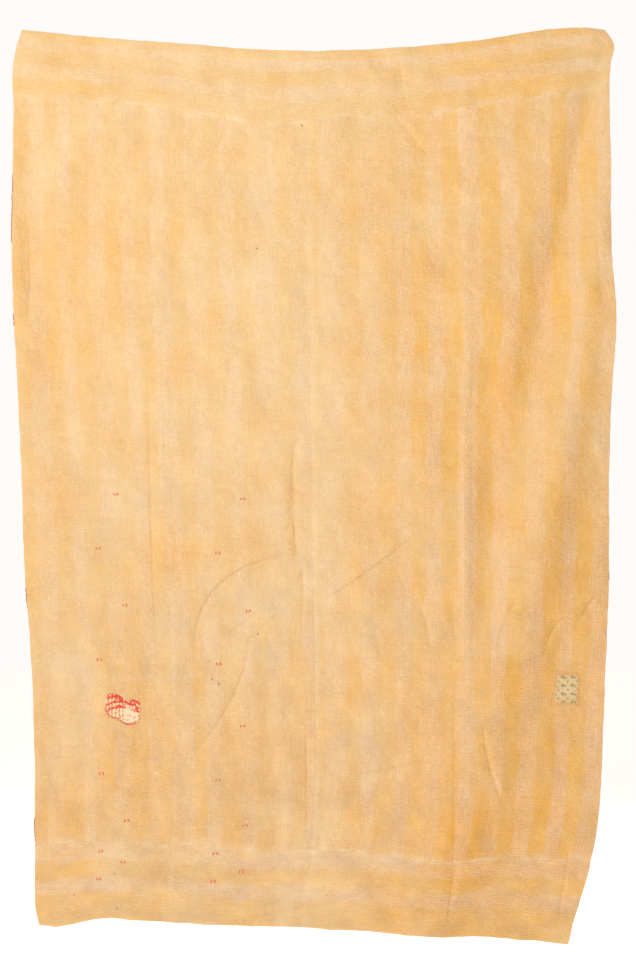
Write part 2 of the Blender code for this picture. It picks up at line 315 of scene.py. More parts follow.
# %% Table of the small creases
# The depth is at the middle of the path, and a crease fades out at both ends.
# All the depths are taken this many times.
CREASE_DEPTH = 1.5
Wrinkle = namedtuple("Wrinkle", "start middle end depth half_width lip")
WRINKLES = [
    Wrinkle((-0.284, 1.450), (-0.222, 1.290), (-0.039, 1.215), 0.0024, 0.008, 0.5),
    Wrinkle((0.030, 1.330), (0.140, 1.256), (0.262, 1.162), 0.0020, 0.007, 0.5),
    Wrinkle((-0.058, 1.346), (-0.125, 1.398), (-0.155, 1.430), 0.0012, 0.008, 0.4),
    Wrinkle((-0.150, 1.415), (-0.188, 1.556), (-0.285, 1.700), 0.0022, 0.009, 0.5),
    Wrinkle((-0.262, 1.432), (-0.190, 1.400), (-0.120, 1.345), 0.0009, 0.009, 0.3),
    Wrinkle((0.258, 1.330), (0.278, 1.390), (0.290, 1.455), 0.0016, 0.008, 0.4),
    Wrinkle((0.150, 1.390), (0.160, 1.430), (0.168, 1.475), 0.0009, 0.008, 0.3),
    Wrinkle((0.448, 1.445), (0.467, 1.372), (0.500, 1.312), 0.0020, 0.008, 0.5),
    Wrinkle((0.455, 1.235), (0.462, 1.290), (0.478, 1.340), 0.0012, 0.008, 0.4),
    Wrinkle((0.560, 1.462), (0.583, 1.401), (0.614, 1.370), 0.0028, 0.009, 0.6),
    Wrinkle((0.650, 1.380), (0.673, 1.341), (0.702, 1.308), 0.0026, 0.008, 0.6),
    Wrinkle((0.470, 1.490), (0.510, 1.478), (0.555, 1.460), 0.0014, 0.008, 0.4),
    Wrinkle((0.412, 1.615), (0.424, 1.715), (0.470, 1.840), 0.0026, 0.009, 0.2),
    Wrinkle((0.120, 1.745), (0.190, 1.735), (0.280, 1.715), 0.0010, 0.009, 0.3),
    Wrinkle((-0.262, 0.800), (-0.205, 0.755), (-0.150, 0.710), 0.0009, 0.007, 0.3),
    Wrinkle((0.200, 0.155), (0.245, 0.210), (0.290, 0.265), 0.0014, 0.010, 0.3),
    Wrinkle((0.200, 0.465), (0.230, 0.440), (0.285, 0.405), 0.0009, 0.008, 0.3),
    Wrinkle((0.345, 1.860), (0.337, 2.000), (0.318, 2.150), 0.0034, 0.013, 0.0),
    Wrinkle((0.632, 1.930), (0.622, 2.040), (0.606, 2.150), 0.0016, 0.006, 0.4),
    Wrinkle((-0.014, 1.640), (-0.012, 1.770), (-0.010, 1.925), 0.0040, 0.016, 0.2),
    Wrinkle((-0.040, 0.940), (-0.046, 1.030), (-0.040, 1.130), 0.0026, 0.009, 0.0),
    Wrinkle((-0.048, 1.110), (-0.040, 1.170), (-0.038, 1.270), 0.0024, 0.008, 0.0),
    Wrinkle((-0.026, 1.230), (-0.020, 1.300), (-0.026, 1.400), 0.0016, 0.007, 0.0),
    Wrinkle((-0.046, 1.050), (-0.030, 1.068), (0.000, 1.070), 0.0014, 0.009, 0.3),
    Wrinkle((-0.060, 1.120), (-0.050, 1.105), (-0.036, 1.085), 0.0014, 0.007, 0.3),
    Wrinkle((-0.066, 1.160), (-0.054, 1.150), (-0.040, 1.130), 0.0012, 0.007, 0.3),
    Wrinkle((-0.395, 0.780), (-0.388, 1.150), (-0.372, 1.560), 0.0016, 0.014, 0.8),
    Wrinkle((0.345, 1.540), (0.343, 1.740), (0.341, 1.930), 0.0018, 0.008, 0.5),
    Wrinkle((0.338, 1.320), (0.345, 1.400), (0.352, 1.480), 0.0014, 0.010, 0.6),
    Wrinkle((-0.205, 0.150), (-0.215, 0.200), (-0.238, 0.245), 0.0014, 0.012, 0.3),
    Wrinkle((0.205, 0.000), (0.218, 0.070), (0.228, 0.150), 0.0010, 0.010, 0.4),
    Wrinkle((-0.690, 0.400), (-0.684, 0.530), (-0.690, 0.670), 0.0026, 0.015, 0.3),
]


# %% Smooth random bumps
Noise = namedtuple("Noise", "height across_size down_size seed")


def soft_noise(a, b, seed):
    """Smooth random values from -1 to 1, a new one at each whole number of a and b."""
    side = 128
    lattice = np.random.default_rng(seed).uniform(-1, 1, (side, side))
    column = np.floor(a).astype(int)
    row = np.floor(b).astype(int)
    right = a - column
    down = b - row
    right = right * right * (3 - 2 * right)
    down = down * down * (3 - 2 * down)
    corners = [lattice[(column + i) % side, (row + j) % side] for j in (0, 1) for i in (0, 1)]
    return between(between(*corners[:2], right), between(*corners[2:], right), down)


def noise_sum(noises, x, drop):
    """Several soft noises added up, each with its own height and sizes."""
    return sum(
        noise.height * soft_noise(x / noise.across_size, drop / noise.down_size, noise.seed)
        for noise in noises
    )


# %% Relief of the small creases
# Where a crease's lip is and how wide it is, in half widths of the crease.
LIP_AWAY = 1.6
LIP_WIDTH = 1.3
# The lower this power, the nearer to its ends a crease is fully deep.
END_FADE = 0.6


def near_to(wrinkle, x, drop):
    """Which places lie near a crease."""
    reach = 4 * wrinkle.half_width
    across, down = zip(*bend_of(wrinkle))
    near = (x > min(across) - reach) & (x < max(across) + reach)
    return near & (drop > min(down) - reach) & (drop < max(down) + reach)


def end_fade(share):
    """How deep a crease is, a share of the way along it, from nothing at either end."""
    return np.sin(np.pi * np.clip(share, 0, 1)) ** END_FADE


def wrinkle_rise(x, drop):
    """The troughs, with a lip to their right where the cloth stands up again."""
    total = np.zeros(np.shape(x))
    for wrinkle in WRINKLES:
        near = near_to(wrinkle, x, drop)
        away, share = nearest_on_path(bend_of(wrinkle), x[near], drop[near])
        left_of_lip = x[near] - LIP_AWAY * wrinkle.half_width
        beside, _ = nearest_on_path(bend_of(wrinkle), left_of_lip, drop[near])
        trough = np.exp(-((away / wrinkle.half_width) ** 2))
        lip = wrinkle.lip * np.exp(-((beside / (LIP_WIDTH * wrinkle.half_width)) ** 2))
        total[near] += CREASE_DEPTH * wrinkle.depth * end_fade(share) * (lip - trough)
    return total


# %% Lines of the creases
# The weight of a crease's line fades out between these distances from it.
LINE_NEAR = 0.007
LINE_FAR = 0.015
# A small crease of this depth or more has a line of full weight.
FULL_DEPTH = 0.0026
# The stored creases' lines are broken into lengths of about this size.
BREAK_LENGTH = 0.13


def crease_lines(across, x, drop):
    """For the material: how far the nearest crease is, by side, and how much its line counts."""
    away = np.full(np.shape(x), LINE_FAR)
    weight = np.zeros(np.shape(x))
    for crease in CREASES:
        here = (across - crease.across) * QUILT_WIDTH
        # Each crease reads the noise along a line of its own.
        broken = np.clip(0.6 + soft_noise(drop / BREAK_LENGTH, 40 * crease.across, 33), 0, 1)
        line = crease.line * broken * read_table(CREASE_SHARES, crease.name, drop)
        closer = np.abs(here) < np.abs(away)
        away = np.where(closer, here, away)
        weight = np.where(closer, line, weight)
    for wrinkle in WRINKLES:
        near = near_to(wrinkle, x, drop)
        here, share = nearest_on_path(bend_of(wrinkle), x[near], drop[near])
        line = end_fade(share) * min(wrinkle.depth / FULL_DEPTH, 1)
        closer = np.abs(here) < np.abs(away[near])
        away[near] = np.where(closer, here, away[near])
        weight[near] = np.where(closer, line, weight[near])
    weight *= np.clip((LINE_FAR - np.abs(away)) / (LINE_FAR - LINE_NEAR), 0, 1)
    return np.stack([away, weight, np.zeros_like(away)], -1)


# %% Puckers, and all the relief
PUCKERS = [
    Noise(0.0044, 0.130, 0.190, 1),
    Noise(0.0028, 0.055, 0.075, 2),
    Noise(0.0014, 0.027, 0.032, 3),
    Noise(0.0007, 0.015, 0.016, 4),
    Noise(0.0008, 0.050, 0.014, 5),
]


def front_rise(across, x, drop):
    """How far the middle of the layers stands forward, with all that bends it."""
    folds = stand_forward(x, drop) + crease_rise(across, drop)
    return folds + wrinkle_rise(x, drop) + noise_sum(PUCKERS, x, drop)


print("small creases:", len(WRINKLES), "and sizes of pucker:", len(PUCKERS))

# %% [markdown]
# ## The stripes and the fading
# The saris were woven with gold and pale stripes about 36 mm wide. On the wide
# panel they run down the quilt, and on the two bands across it, because each
# band is a strip cut the other way. Old cloth pulls out of line, so the chart
# below gives each gold stripe's edges at the top seam and at the bottom one.
#
# The chart isn't painted at once. Each point of the mesh gets a phase, which
# is a whole number where a gold stripe starts and a half where it ends. The
# material turns the phase into a crisp edge, finer than the mesh itself.

# %% Chart of the stripes
Stripe = namedtuple("Stripe", "top_start top_end foot_start foot_end")
GOLD_STRIPES_MM = [
    Stripe(2, 36, 2, 33),
    Stripe(74, 107, 86, 134),
    Stripe(137, 179, 161, 210),
    Stripe(216, 255, 252, 300),
    Stripe(291, 329, 322, 362),
    Stripe(369, 412, 415, 445),
    Stripe(460, 499, 482, 534),
    Stripe(529, 569, 571, 615),
    Stripe(629, 669, 660, 697),
    Stripe(716, 742, 722, 738),
    Stripe(799, 844, 789, 830),
    Stripe(889, 927, 864, 917),
    Stripe(965, 1005, 952, 985),
    Stripe(1041, 1082, 1026, 1072),
    Stripe(1126, 1174, 1111, 1151),
    Stripe(1217, 1259, 1184, 1226),
    Stripe(1302, 1346, 1272, 1317),
    Stripe(1374, 1417, 1355, 1400),
    Stripe(1470, 1510, 1470, 1510),
]
# The edges of the gold stripes of each band, below its upper edge.
TOP_BAND_GOLD_MM = [-30, 22, 46, 84, 117, 180]
BOTTOM_BAND_GOLD_MM = [-100, -30, 44, 84, 118, 210]

# Where the upright stripes lean out beside the right tension fold.
Lean = namedtuple("Lean", "across share half_width half_height shift")
LEAN = Lean(0.84, 0.19, 0.12, 0.13, 0.010)


def upright_phase(across, share):
    """The stripe phase on the wide panel."""
    sideways = (across - LEAN.across) / LEAN.half_width
    upright = (share - LEAN.share) / LEAN.half_height
    lean = np.exp(-(sideways**2) - upright**2)
    places = (across - LEAN.shift * lean) * QUILT_WIDTH * 1000
    top = np.array([(stripe.top_start, stripe.top_end) for stripe in GOLD_STRIPES_MM]).ravel()
    foot = np.array([(stripe.foot_start, stripe.foot_end) for stripe in GOLD_STRIPES_MM]).ravel()
    phases = np.arange(len(top)) / 2
    rows = [np.interp(place, between(top, foot, row[0]), phases) for place, row in zip(places, share)]
    return np.array(rows)


def level_phase(edges, down):
    """The stripe phase on a band."""
    return np.interp(down * 1000, edges, np.arange(len(edges)) / 2)


# %% Tables of the fading
# The depth of the dye: 0 is washed out and 1 is full gold.
DyeAcross = namedtuple("DyeAcross", "across depth")
DYE_ACROSS = [
    DyeAcross(0.00, 0.44),
    DyeAcross(0.12, 0.36),
    DyeAcross(0.30, 0.24),
    DyeAcross(0.46, 0.16),
    DyeAcross(0.60, 0.42),
    DyeAcross(0.74, 0.64),
    DyeAcross(0.90, 0.72),
    DyeAcross(1.00, 0.55),
]
DyeDown = namedtuple("DyeDown", "drop depth")
DYE_DOWN = [
    DyeDown(-0.06, -0.06),
    DyeDown(0.30, 0.10),
    DyeDown(0.60, 0.06),
    DyeDown(0.95, -0.02),
    DyeDown(1.25, 0.02),
    DyeDown(1.65, 0.12),
    DyeDown(1.92, 0.10),
    DyeDown(2.19, -0.20),
]
# Painted shade and light: a fold's side turned away from the key lamp, to the right, gets deeper dye,
# and a side turned towards it paler dye. This is how much for a full quarter turn, and between which shares
# of one it counts.
FOLD_SIDE_PAINTED_SHADE = 0.7
FOLD_SIDE_PAINTED_SHADE_LIMITS = (-0.15, 0.20)

# %% Table of stains, worn places and painted fold shade
# Stains are deeper and worn places are lighter. The deeper spots at x 0.240 drop 2.080,
# x 0.310 drop 1.870, x 0.350 drop 1.940, x 0.450 drop 1.145, x 0.457 drop 0.840,
# x 0.680 drop 1.130 and x -0.550 drop 1.830 are painted shade on the shaded sides of folds.
Spot = namedtuple("Spot", "x drop half_width half_height depth")
SPOTS = [
    Spot(0.276, 0.530, 0.085, 0.070, 0.22),
    Spot(-0.395, 1.790, 0.045, 0.120, 0.35),
    Spot(-0.340, 1.230, 0.085, 0.065, 0.80),
    Spot(0.240, 2.080, 0.120, 0.060, 0.50),
    Spot(0.310, 1.870, 0.050, 0.050, 0.25),
    Spot(0.350, 1.940, 0.090, 0.080, 0.45),
    Spot(0.600, 1.960, 0.070, 0.060, 0.35),
    Spot(0.680, 1.130, 0.050, 0.180, 0.30),
    Spot(-0.550, 1.830, 0.050, 0.170, 0.38),
    Spot(0.457, 0.840, 0.028, 0.130, 0.80),
    Spot(0.566, 0.830, 0.020, 0.130, 0.40),
    Spot(0.600, 1.060, 0.040, 0.090, 0.50),
    Spot(0.450, 1.145, 0.025, 0.080, 0.55),
    Spot(-0.668, 0.480, 0.025, 0.070, 0.55),
    Spot(0.340, 1.330, 0.045, 0.120, 0.35),
    Spot(0.140, 0.700, 0.100, 0.150, 0.28),
    Spot(0.046, 0.980, 0.060, 0.090, -0.25),
    Spot(-0.490, 0.450, 0.070, 0.110, 0.38),
    Spot(-0.130, 0.930, 0.040, 0.050, 0.24),
    Spot(0.320, 1.030, 0.050, 0.050, 0.18),
    Spot(-0.500, 0.950, 0.050, 0.050, 0.16),
    Spot(-0.060, 0.300, 0.080, 0.050, 0.14),
    Spot(-0.370, 2.000, 0.020, 0.030, 0.35),
    Spot(-0.440, 1.900, 0.030, 0.060, 0.15),
    Spot(-0.030, 1.150, 0.030, 0.120, 0.30),
    Spot(-0.571, 1.474, 0.050, 0.040, -0.26),
    Spot(-0.400, 1.515, 0.100, 0.012, -0.40),
    Spot(-0.580, 1.500, 0.030, 0.040, -0.30),
    Spot(-0.560, 1.600, 0.060, 0.110, -0.20),
    Spot(-0.620, 0.310, 0.040, 0.070, -0.24),
    Spot(-0.180, 0.860, 0.190, 0.220, -0.22),
    Spot(0.020, 1.240, 0.030, 0.050, -0.24),
    Spot(0.505, 0.410, 0.040, 0.110, -0.38),
    Spot(0.675, 0.090, 0.060, 0.080, -0.42),
    Spot(0.090, 0.336, 0.080, 0.060, -0.22),
    Spot(0.167, 1.400, 0.090, 0.080, -0.35),
    Spot(-0.120, 1.520, 0.060, 0.070, -0.30),
    Spot(-0.420, 1.945, 0.150, 0.018, -0.28),
    Spot(-0.560, 2.020, 0.090, 0.014, -0.30),
    Spot(0.110, 1.955, 0.160, 0.014, -0.45),
    Spot(0.440, 2.035, 0.120, 0.014, -0.40),
]

# %% Tables of the clouds and the stripes' strength
# Broad clouds of fading, over all of it.
DYE_CLOUDS = [Noise(0.26, 0.150, 0.190, 11), Noise(0.16, 0.060, 0.080, 12)]

# How far the gold and pale stripes still differ, from side to side.
StripesLeft = namedtuple("StripesLeft", "across strength")
STRIPES_LEFT = [
    StripesLeft(0.00, 0.55),
    StripesLeft(0.30, 0.60),
    StripesLeft(0.48, 0.40),
    StripesLeft(0.62, 0.60),
    StripesLeft(0.78, 1.00),
    StripesLeft(1.00, 1.00),
]
# The bands kept their stripes better than the cloth between them: below the first
# drop, and above the second.
BandStripes = namedtuple("BandStripes", "drop direction strength")
BAND_STRIPES = [BandStripes(1.93, 1.0, 1.0), BandStripes(0.13, -1.0, 0.85)]
BAND_STRIPES_SET_IN = 0.03
PATCHY_STRIPES = Noise(0.55, 0.09, 0.16, 13)
STRIPE_LIMITS = (0.05, 1.2)


# %% Fading at a place
def dye_depth(across, x, drop):
    """How deep the dye still is, with broad clouds of fading, and spots of painted shade beside some folds.
    """
    depth = read_table(DYE_ACROSS, "depth", across) + read_table(DYE_DOWN, "depth", drop)
    for spot in SPOTS:
        away = ((x - spot.x) / spot.half_width) ** 2 + ((drop - spot.drop) / spot.half_height) ** 2
        depth += spot.depth * np.exp(-away)
    return depth + noise_sum(DYE_CLOUDS, x, drop)


def stripe_strength(across, x, drop):
    """How far the gold and pale stripes still differ."""
    steady = np.interp(across, *zip(*STRIPES_LEFT))
    for band in BAND_STRIPES:
        inside = np.clip(band.direction * (drop - band.drop) / BAND_STRIPES_SET_IN, 0, 1)
        steady = np.maximum(steady, band.strength * inside)
    return np.clip(steady * (1 + noise_sum([PATCHY_STRIPES], x, drop)), *STRIPE_LIMITS)


print("stains and worn places:", len(SPOTS))

# %% [markdown]
# ## The three panels
# Each panel is a thin closed sheet. Its front is a fine grid, a point every
# five millimetres or so, to carry the puckers. Its back needs less, so it uses
# every fourth point, and a ring of faces with seven corners joins the two at
# the hem. Blender's Solidify would give the back as many faces as the front.
#
# The grid is made with numpy, because one array holds each property of the
# cloth and can be read again later, when the stitches and patches are laid on.

# %% Sizes of the cloth
QUILT_THICKNESS = 0.0025
# The turned hem is thicker, with a soft step, and its edge is rolled thin.
HEM_WIDTH = 0.022
HEM_EXTRA = 0.0004
HEM_STEP = 0.0015
ROLLED_EDGE = 0.6
# Each band laps over the wide panel, which the seam presses to this share.
SEAM_LAP = 0.0008
SEAM_DIP = 0.93
# No edge is quite straight.
EDGE_WOBBLE = 0.0009
SIDE_WOBBLE_LENGTH = 0.021
END_WOBBLE_LENGTH = 0.023
COLUMNS = 280
BACK_STEP = 4
ROW_SPACING = 0.0062
STITCH_PITCH = 0.0074
# How far a row strays, in row gaps.
ROW_WOBBLE = Noise(0.25, 0.04, 0.09, 41)

Panel = namedtuple("Panel", "name node upper lower rows length gold")
TOP_BAND = Panel("top_band_cloth", "top_band", "top_edge", "top_seam", 32, 0.165, TOP_BAND_GOLD_MM)
MAIN_PANEL = Panel("main_panel_cloth", "main_panel", "top_seam", "bottom_seam", 308, 1.800, None)
BOTTOM_BAND = Panel("bottom_band_cloth", "bottom_band", "bottom_seam", "hem", 36, 0.190, BOTTOM_BAND_GOLD_MM)
PANELS = [TOP_BAND, MAIN_PANEL, BOTTOM_BAND]

# %% Thickness and wear of a panel
SEAM_WEAR = 0.40
SEAM_WEAR_WIDTH = 0.010
SEAM_RUB = Noise(0.75, 0.024, 0.020, 31)
SEAM_RUB_MEAN = 0.40
# A stored crease is lighter on its right side, this far from its middle: partly wear, and partly a painted
# highlight along the crease.
CREASE_WEAR_AND_HIGHLIGHT = 0.22
CREASE_WEAR_AND_HIGHLIGHT_WIDTH = 0.007
CREASE_WEAR_AND_HIGHLIGHT_SIDE = 0.006
CREASE_WEAR_AND_HIGHLIGHT_LENGTH = 0.10


def from_hem(panel, across, down):
    """The distance from the nearest hemmed edge."""
    away = np.minimum(across, 1 - across) * QUILT_WIDTH
    if panel.upper == "top_edge":
        away = np.minimum(away, down)
    if panel.lower == "hem":
        away = np.minimum(away, panel.length - down)
    return away


def from_seam(panel, down):
    """The distance from the nearest seam between two panels."""
    above = np.inf if panel.upper == "top_edge" else down
    below = np.inf if panel.lower == "hem" else panel.length - down
    return np.minimum(above, below)


def half_thickness(panel, across, down):
    """Half of a panel's thickness, which is not the same at hems and seams."""
    away = from_hem(panel, across, down)
    half = QUILT_THICKNESS / 2 + HEM_EXTRA / (1 + np.exp((away - HEM_WIDTH) / HEM_STEP))
    if panel == MAIN_PANEL:
        half[[0, -1]] *= SEAM_DIP
    half[away <= 0] = ROLLED_EDGE * QUILT_THICKNESS / 2
    return half


def wear_and_highlight(panel, across, down, drop):
    """How white the cloth is: worn along the seams, and worn and lit by a painted highlight beside the stored
    creases.
    """
    rubbed = np.clip(SEAM_RUB_MEAN + noise_sum([SEAM_RUB], across * QUILT_WIDTH, down), 0, 1)
    at_seam = rubbed * np.exp(-((from_seam(panel, down) / SEAM_WEAR_WIDTH) ** 2))
    at_crease = np.zeros_like(across)
    for crease in CREASES:
        beside = (across - crease.across) * QUILT_WIDTH - CREASE_WEAR_AND_HIGHLIGHT_SIDE
        at_crease += np.exp(-((beside / CREASE_WEAR_AND_HIGHLIGHT_WIDTH) ** 2))
    at_crease *= 0.5 + 0.5 * soft_noise(drop / CREASE_WEAR_AND_HIGHLIGHT_LENGTH, 0.0, 32)
    return np.clip(SEAM_WEAR * at_seam + CREASE_WEAR_AND_HIGHLIGHT * at_crease, 0, 1)


# %% Lay out a panel
def row_wobble(along, down):
    """How far a row of stitches strays at a place, in row gaps."""
    return noise_sum([ROW_WOBBLE], along, down)


def edged_places(panel, across, share):
    """The x and drop of a panel's points, with its outer edges not quite straight."""
    x, drop = front_place(across, panel.upper, panel.lower, share)
    x[:, 0] += EDGE_WOBBLE * soft_noise(drop[:, 0] / SIDE_WOBBLE_LENGTH, 0.0, 21)
    x[:, -1] += EDGE_WOBBLE * soft_noise(drop[:, -1] / SIDE_WOBBLE_LENGTH, 0.0, 22)
    if panel.upper == "top_edge":
        drop[0] += EDGE_WOBBLE * soft_noise(x[0] / END_WOBBLE_LENGTH, 0.0, 23)
    if panel.lower == "hem":
        drop[-1] += EDGE_WOBBLE * soft_noise(x[-1] / END_WOBBLE_LENGTH, 0.0, 24)
    return x, drop


def lay_out(panel):
    """The arrays of one panel, by name: a row of values for each row of points."""
    lap = SEAM_LAP / panel.length
    first = -lap if panel == BOTTOM_BAND else 0
    last = 1 + lap if panel == TOP_BAND else 1
    shares = np.linspace(first, last, panel.rows + 1)
    share, across = np.meshgrid(shares, np.linspace(0, 1, COLUMNS + 1), indexing="ij")
    x, drop = edged_places(panel, across, share)
    middle = np.stack([x, -front_rise(across, x, drop), -drop], -1)
    normal = np.cross(np.gradient(middle, axis=0), np.gradient(middle, axis=1))
    normal /= np.linalg.norm(normal, axis=-1, keepdims=True)
    along = across * QUILT_WIDTH
    down = share * panel.length
    half = half_thickness(panel, across, down)[..., None]
    rows = along / ROW_SPACING - row_wobble(along, down)
    if panel == MAIN_PANEL:
        stripe = upright_phase(across, share)
        flat = [along, down, np.zeros_like(down)]
    else:
        stripe = level_phase(panel.gold, down)
        flat = [down, along, np.ones_like(down)]
    return {
        "front": middle + normal * half,
        "back": middle - normal * half,
        "normal": normal,
        "flat": np.stack(flat, -1),
        "row": np.stack([rows, down / STITCH_PITCH, np.zeros_like(down)], -1),
        "stripe": stripe,
        "strength": stripe_strength(across, x, drop),
        # The dye value also carries the painted shade and light on the folds' sides.
        "dye_and_shade": dye_depth(across, x, drop) + FOLD_SIDE_PAINTED_SHADE * np.clip(normal[..., 0], *FOLD_SIDE_PAINTED_SHADE_LIMITS),
        "crease": crease_lines(across, x, drop),
        "worn_and_lit": wear_and_highlight(panel, across, down, drop),
    }


layouts = {panel.name: lay_out(panel) for panel in PANELS}
for panel in PANELS:
    steps = np.diff(layouts[panel.name]["front"], axis=0)
    print(panel.name, "hangs", round(float(np.linalg.norm(steps, axis=-1).sum(0).mean()), 3), "m deep")


# %% Mesh from arrays
def mesh_of(name, points, face_sets):
    """A smooth mesh from an array of points and arrays of faces of one size each."""
    mesh = bpy.data.meshes.new(name)
    corners = np.concatenate([faces.ravel() for faces in face_sets])
    sizes = np.concatenate([np.full(len(faces), faces.shape[1]) for faces in face_sets])
    mesh.vertices.add(len(points))
    mesh.vertices.foreach_set("co", np.asarray(points, np.float32).ravel())
    mesh.loops.add(len(corners))
    mesh.loops.foreach_set("vertex_index", corners.astype(np.int32))
    mesh.polygons.add(len(sizes))
    mesh.polygons.foreach_set("loop_start", (np.cumsum(sizes) - sizes).astype(np.int32))
    mesh.update(calc_edges=True)
    mesh.shade_smooth()
    return mesh


def store(mesh, name, grids):
    """Keeps a number or a vector for each point of a mesh, from one grid after another."""
    size = 3 if grids[0].ndim == 3 else 1
    values = np.concatenate([grid.reshape(-1, size) for grid in grids]).astype(np.float32)
    attribute = mesh.attributes.new(name, "FLOAT_VECTOR" if size == 3 else "FLOAT", "POINT")
    attribute.data.foreach_set("vector" if size == 3 else "value", values.ravel())


def grid_quads(numbers):
    """The faces of a grid of point numbers, facing its front."""
    corners = [numbers[:-1, :-1], numbers[1:, :-1], numbers[1:, 1:], numbers[:-1, 1:]]
    return np.stack(corners, -1).reshape(-1, 4)


def rim_faces(front, back, step):
    """Faces that join one fine border to one coarse border, run in the same direction."""
    starts = np.arange(0, len(front) - 1, step)
    fine = np.stack([front[starts + index] for index in range(step + 1)], -1)
    return np.concatenate([fine, back[1:, None], back[:-1, None]], -1)


# %% The back, clear of the front
# The least gap between the back's flat faces and the front, as a share of the
# thickness. At a sharp fold they would otherwise cut through it.
LEAST_GAP = 0.5


def straight_between(values, step):
    """Rows of values at every fine point, straight between the rows of a coarse grid."""
    places = np.arange((len(values) - 1) * step + 1) / step
    first = np.minimum(places.astype(int), len(values) - 2)
    share = (places - first)[:, None]
    return values[first] * (1 - share) + values[first + 1] * share


def back_points(name, layout, step):
    """Every few points of the back, set back where the flat faces between them would cut the front."""
    back = layout["back"][::step, ::step].copy()
    faces = straight_between(straight_between(back[..., 1], step).T, step).T
    gap = LEAST_GAP * np.linalg.norm(layout["back"] - layout["front"], axis=-1)
    lack = np.maximum(gap - (faces - layout["front"][..., 1]), 0)
    print(name, "back set back by at most", round(1000 * float(lack.max()), 1), "mm")
    near = np.lib.stride_tricks.sliding_window_view(np.pad(lack, step), (2 * step + 1, 2 * step + 1))
    back[..., 1] += near[::step, ::step].max((2, 3))
    return back


# %% Closed sheets
SURFACE_VALUES = ("flat", "row", "crease", "stripe", "strength", "dye_and_shade", "worn_and_lit")


def sharpen_borders(mesh, grids):
    """Sharp border edges keep the front's shading level where two panels meet."""
    border = np.zeros(len(mesh.vertices), bool)
    for grid in grids:
        border[np.concatenate([grid[0], grid[-1], grid[:, 0], grid[:, -1]])] = True
    ends = np.empty(2 * len(mesh.edges), np.int32)
    mesh.edges.foreach_get("vertices", ends)
    mesh.edges.foreach_set("use_edge_sharp", border[ends.reshape(-1, 2)].all(1))


def sheet_mesh(name, layout, step):
    """A closed sheet: a fine front, a back of every few points, and a rim."""
    front = np.arange(layout["stripe"].size).reshape(layout["stripe"].shape)
    coarse = (slice(None, None, step), slice(None, None, step))
    back = front.size + np.arange(front[coarse].size).reshape(front[coarse].shape)
    rims = [
        rim_faces(front[0], back[0], step),
        rim_faces(front[-1, ::-1], back[-1, ::-1], step),
        rim_faces(front[::-1, 0], back[::-1, 0], step),
        rim_faces(front[:, -1], back[:, -1], step),
    ]
    face_sets = [grid_quads(front), np.concatenate(rims), grid_quads(back)[:, ::-1]]
    points = [layout["front"].reshape(-1, 3), back_points(name, layout, step).reshape(-1, 3)]
    mesh = mesh_of(name, np.concatenate(points), face_sets)
    # The front and the rim have the first finish, and the back the second.
    finishes = np.repeat([0, 0, 1], [len(faces) for faces in face_sets])
    mesh.polygons.foreach_set("material_index", finishes.astype(np.int32))
    for value in SURFACE_VALUES:
        store(mesh, value, [layout[value], layout[value][coarse]])
    sharpen_borders(mesh, [front, back])
    return mesh


def place_piece(name, mesh):
    """An object for a mesh, at the origin."""
    piece = bpy.data.objects.new(name, mesh)
    bpy.context.scene.collection.objects.link(piece)
    return piece


cloths = {}
for panel in PANELS:
    cloths[panel.name] = place_piece(panel.name, sheet_mesh(panel.name, layouts[panel.name], BACK_STEP))
    print(panel.name, len(cloths[panel.name].data.polygons), "faces")

# %% [markdown]
# ## Adding nodes
# The stitch trees and the materials are both made of nodes. One small function
# adds a node with its settings, fills or links its inputs, and hands back one
# of its outputs. An input is named as Blender names it, or numbered where a
# node gives several inputs the same name.

# %% The function that adds a node
def add(tree, kind, inputs=(), give=None, **settings):
    """Adds a node to a tree and returns its output of a name or, by default, its first in use."""
    node = tree.nodes.new(kind)
    for setting, value in settings.items():
        setattr(node, setting, value)
    for key, value in dict(inputs).items():
        named = [socket for socket in node.inputs if socket.name == key and socket.enabled]
        socket = node.inputs[key] if isinstance(key, int) else named[0]
        if isinstance(value, bpy.types.NodeSocket):
            tree.links.new(value, socket)
        else:
            socket.default_value = value
    live = [socket for socket in node.outputs if socket.enabled]
    if give:
        return next(socket for socket in live if socket.name == give)
    return live[0] if live else node


def linear(code):
    """An sRGB hex colour as the linear numbers that a shader wants."""
    shares = [int(code[place:place + 2], 16) / 255 for place in (1, 3, 5)]
    return (*(x / 12.92 if x <= 0.04045 else ((x + 0.055) / 1.055) ** 2.4 for x in shares), 1.0)


# %% [markdown]
# ## A tree for running stitch
# Running stitch repeats thousands of times along lines that follow the cloth,
# so it is a job for Geometry Nodes. The guide is a mesh of edges, a line for
# each row. The tree cuts each line into even steps, slides each step a little,
# and puts a short fat grain of thread on it. The guide carries two directions,
# where the stitch aims and where the cloth faces, and Axes to Rotation turns
# each grain with them. A grain has eight faces, because there are so many.

# %% Build the stitch tree
def new_tree(name, inputs):
    """An empty Geometry Nodes tree with a geometry input, named inputs and their defaults."""
    tree = bpy.data.node_groups.new(name, "GeometryNodeTree")
    tree.interface.new_socket("Geometry", in_out="OUTPUT", socket_type="NodeSocketGeometry")
    tree.interface.new_socket("Geometry", in_out="INPUT", socket_type="NodeSocketGeometry")
    for label, default in inputs.items():
        kind = {float: "Float", int: "Int", type(None): "Material"}[type(default)]
        socket = tree.interface.new_socket(label, in_out="INPUT", socket_type="NodeSocket" + kind)
        if default is not None:
            socket.default_value = default
    return tree, tree.nodes.new("NodeGroupInput").outputs


def finish_tree(tree, shape, material):
    """Ends a tree in Realize Instances, smooth shading and Set Material."""
    real = add(tree, "GeometryNodeRealizeInstances", {"Geometry": shape})
    smooth = add(tree, "GeometryNodeSetShadeSmooth", {"Geometry": real})
    dressed = add(tree, "GeometryNodeSetMaterial", {"Geometry": smooth, "Material": material})
    add(tree, "NodeGroupOutput", {"Geometry": dressed})


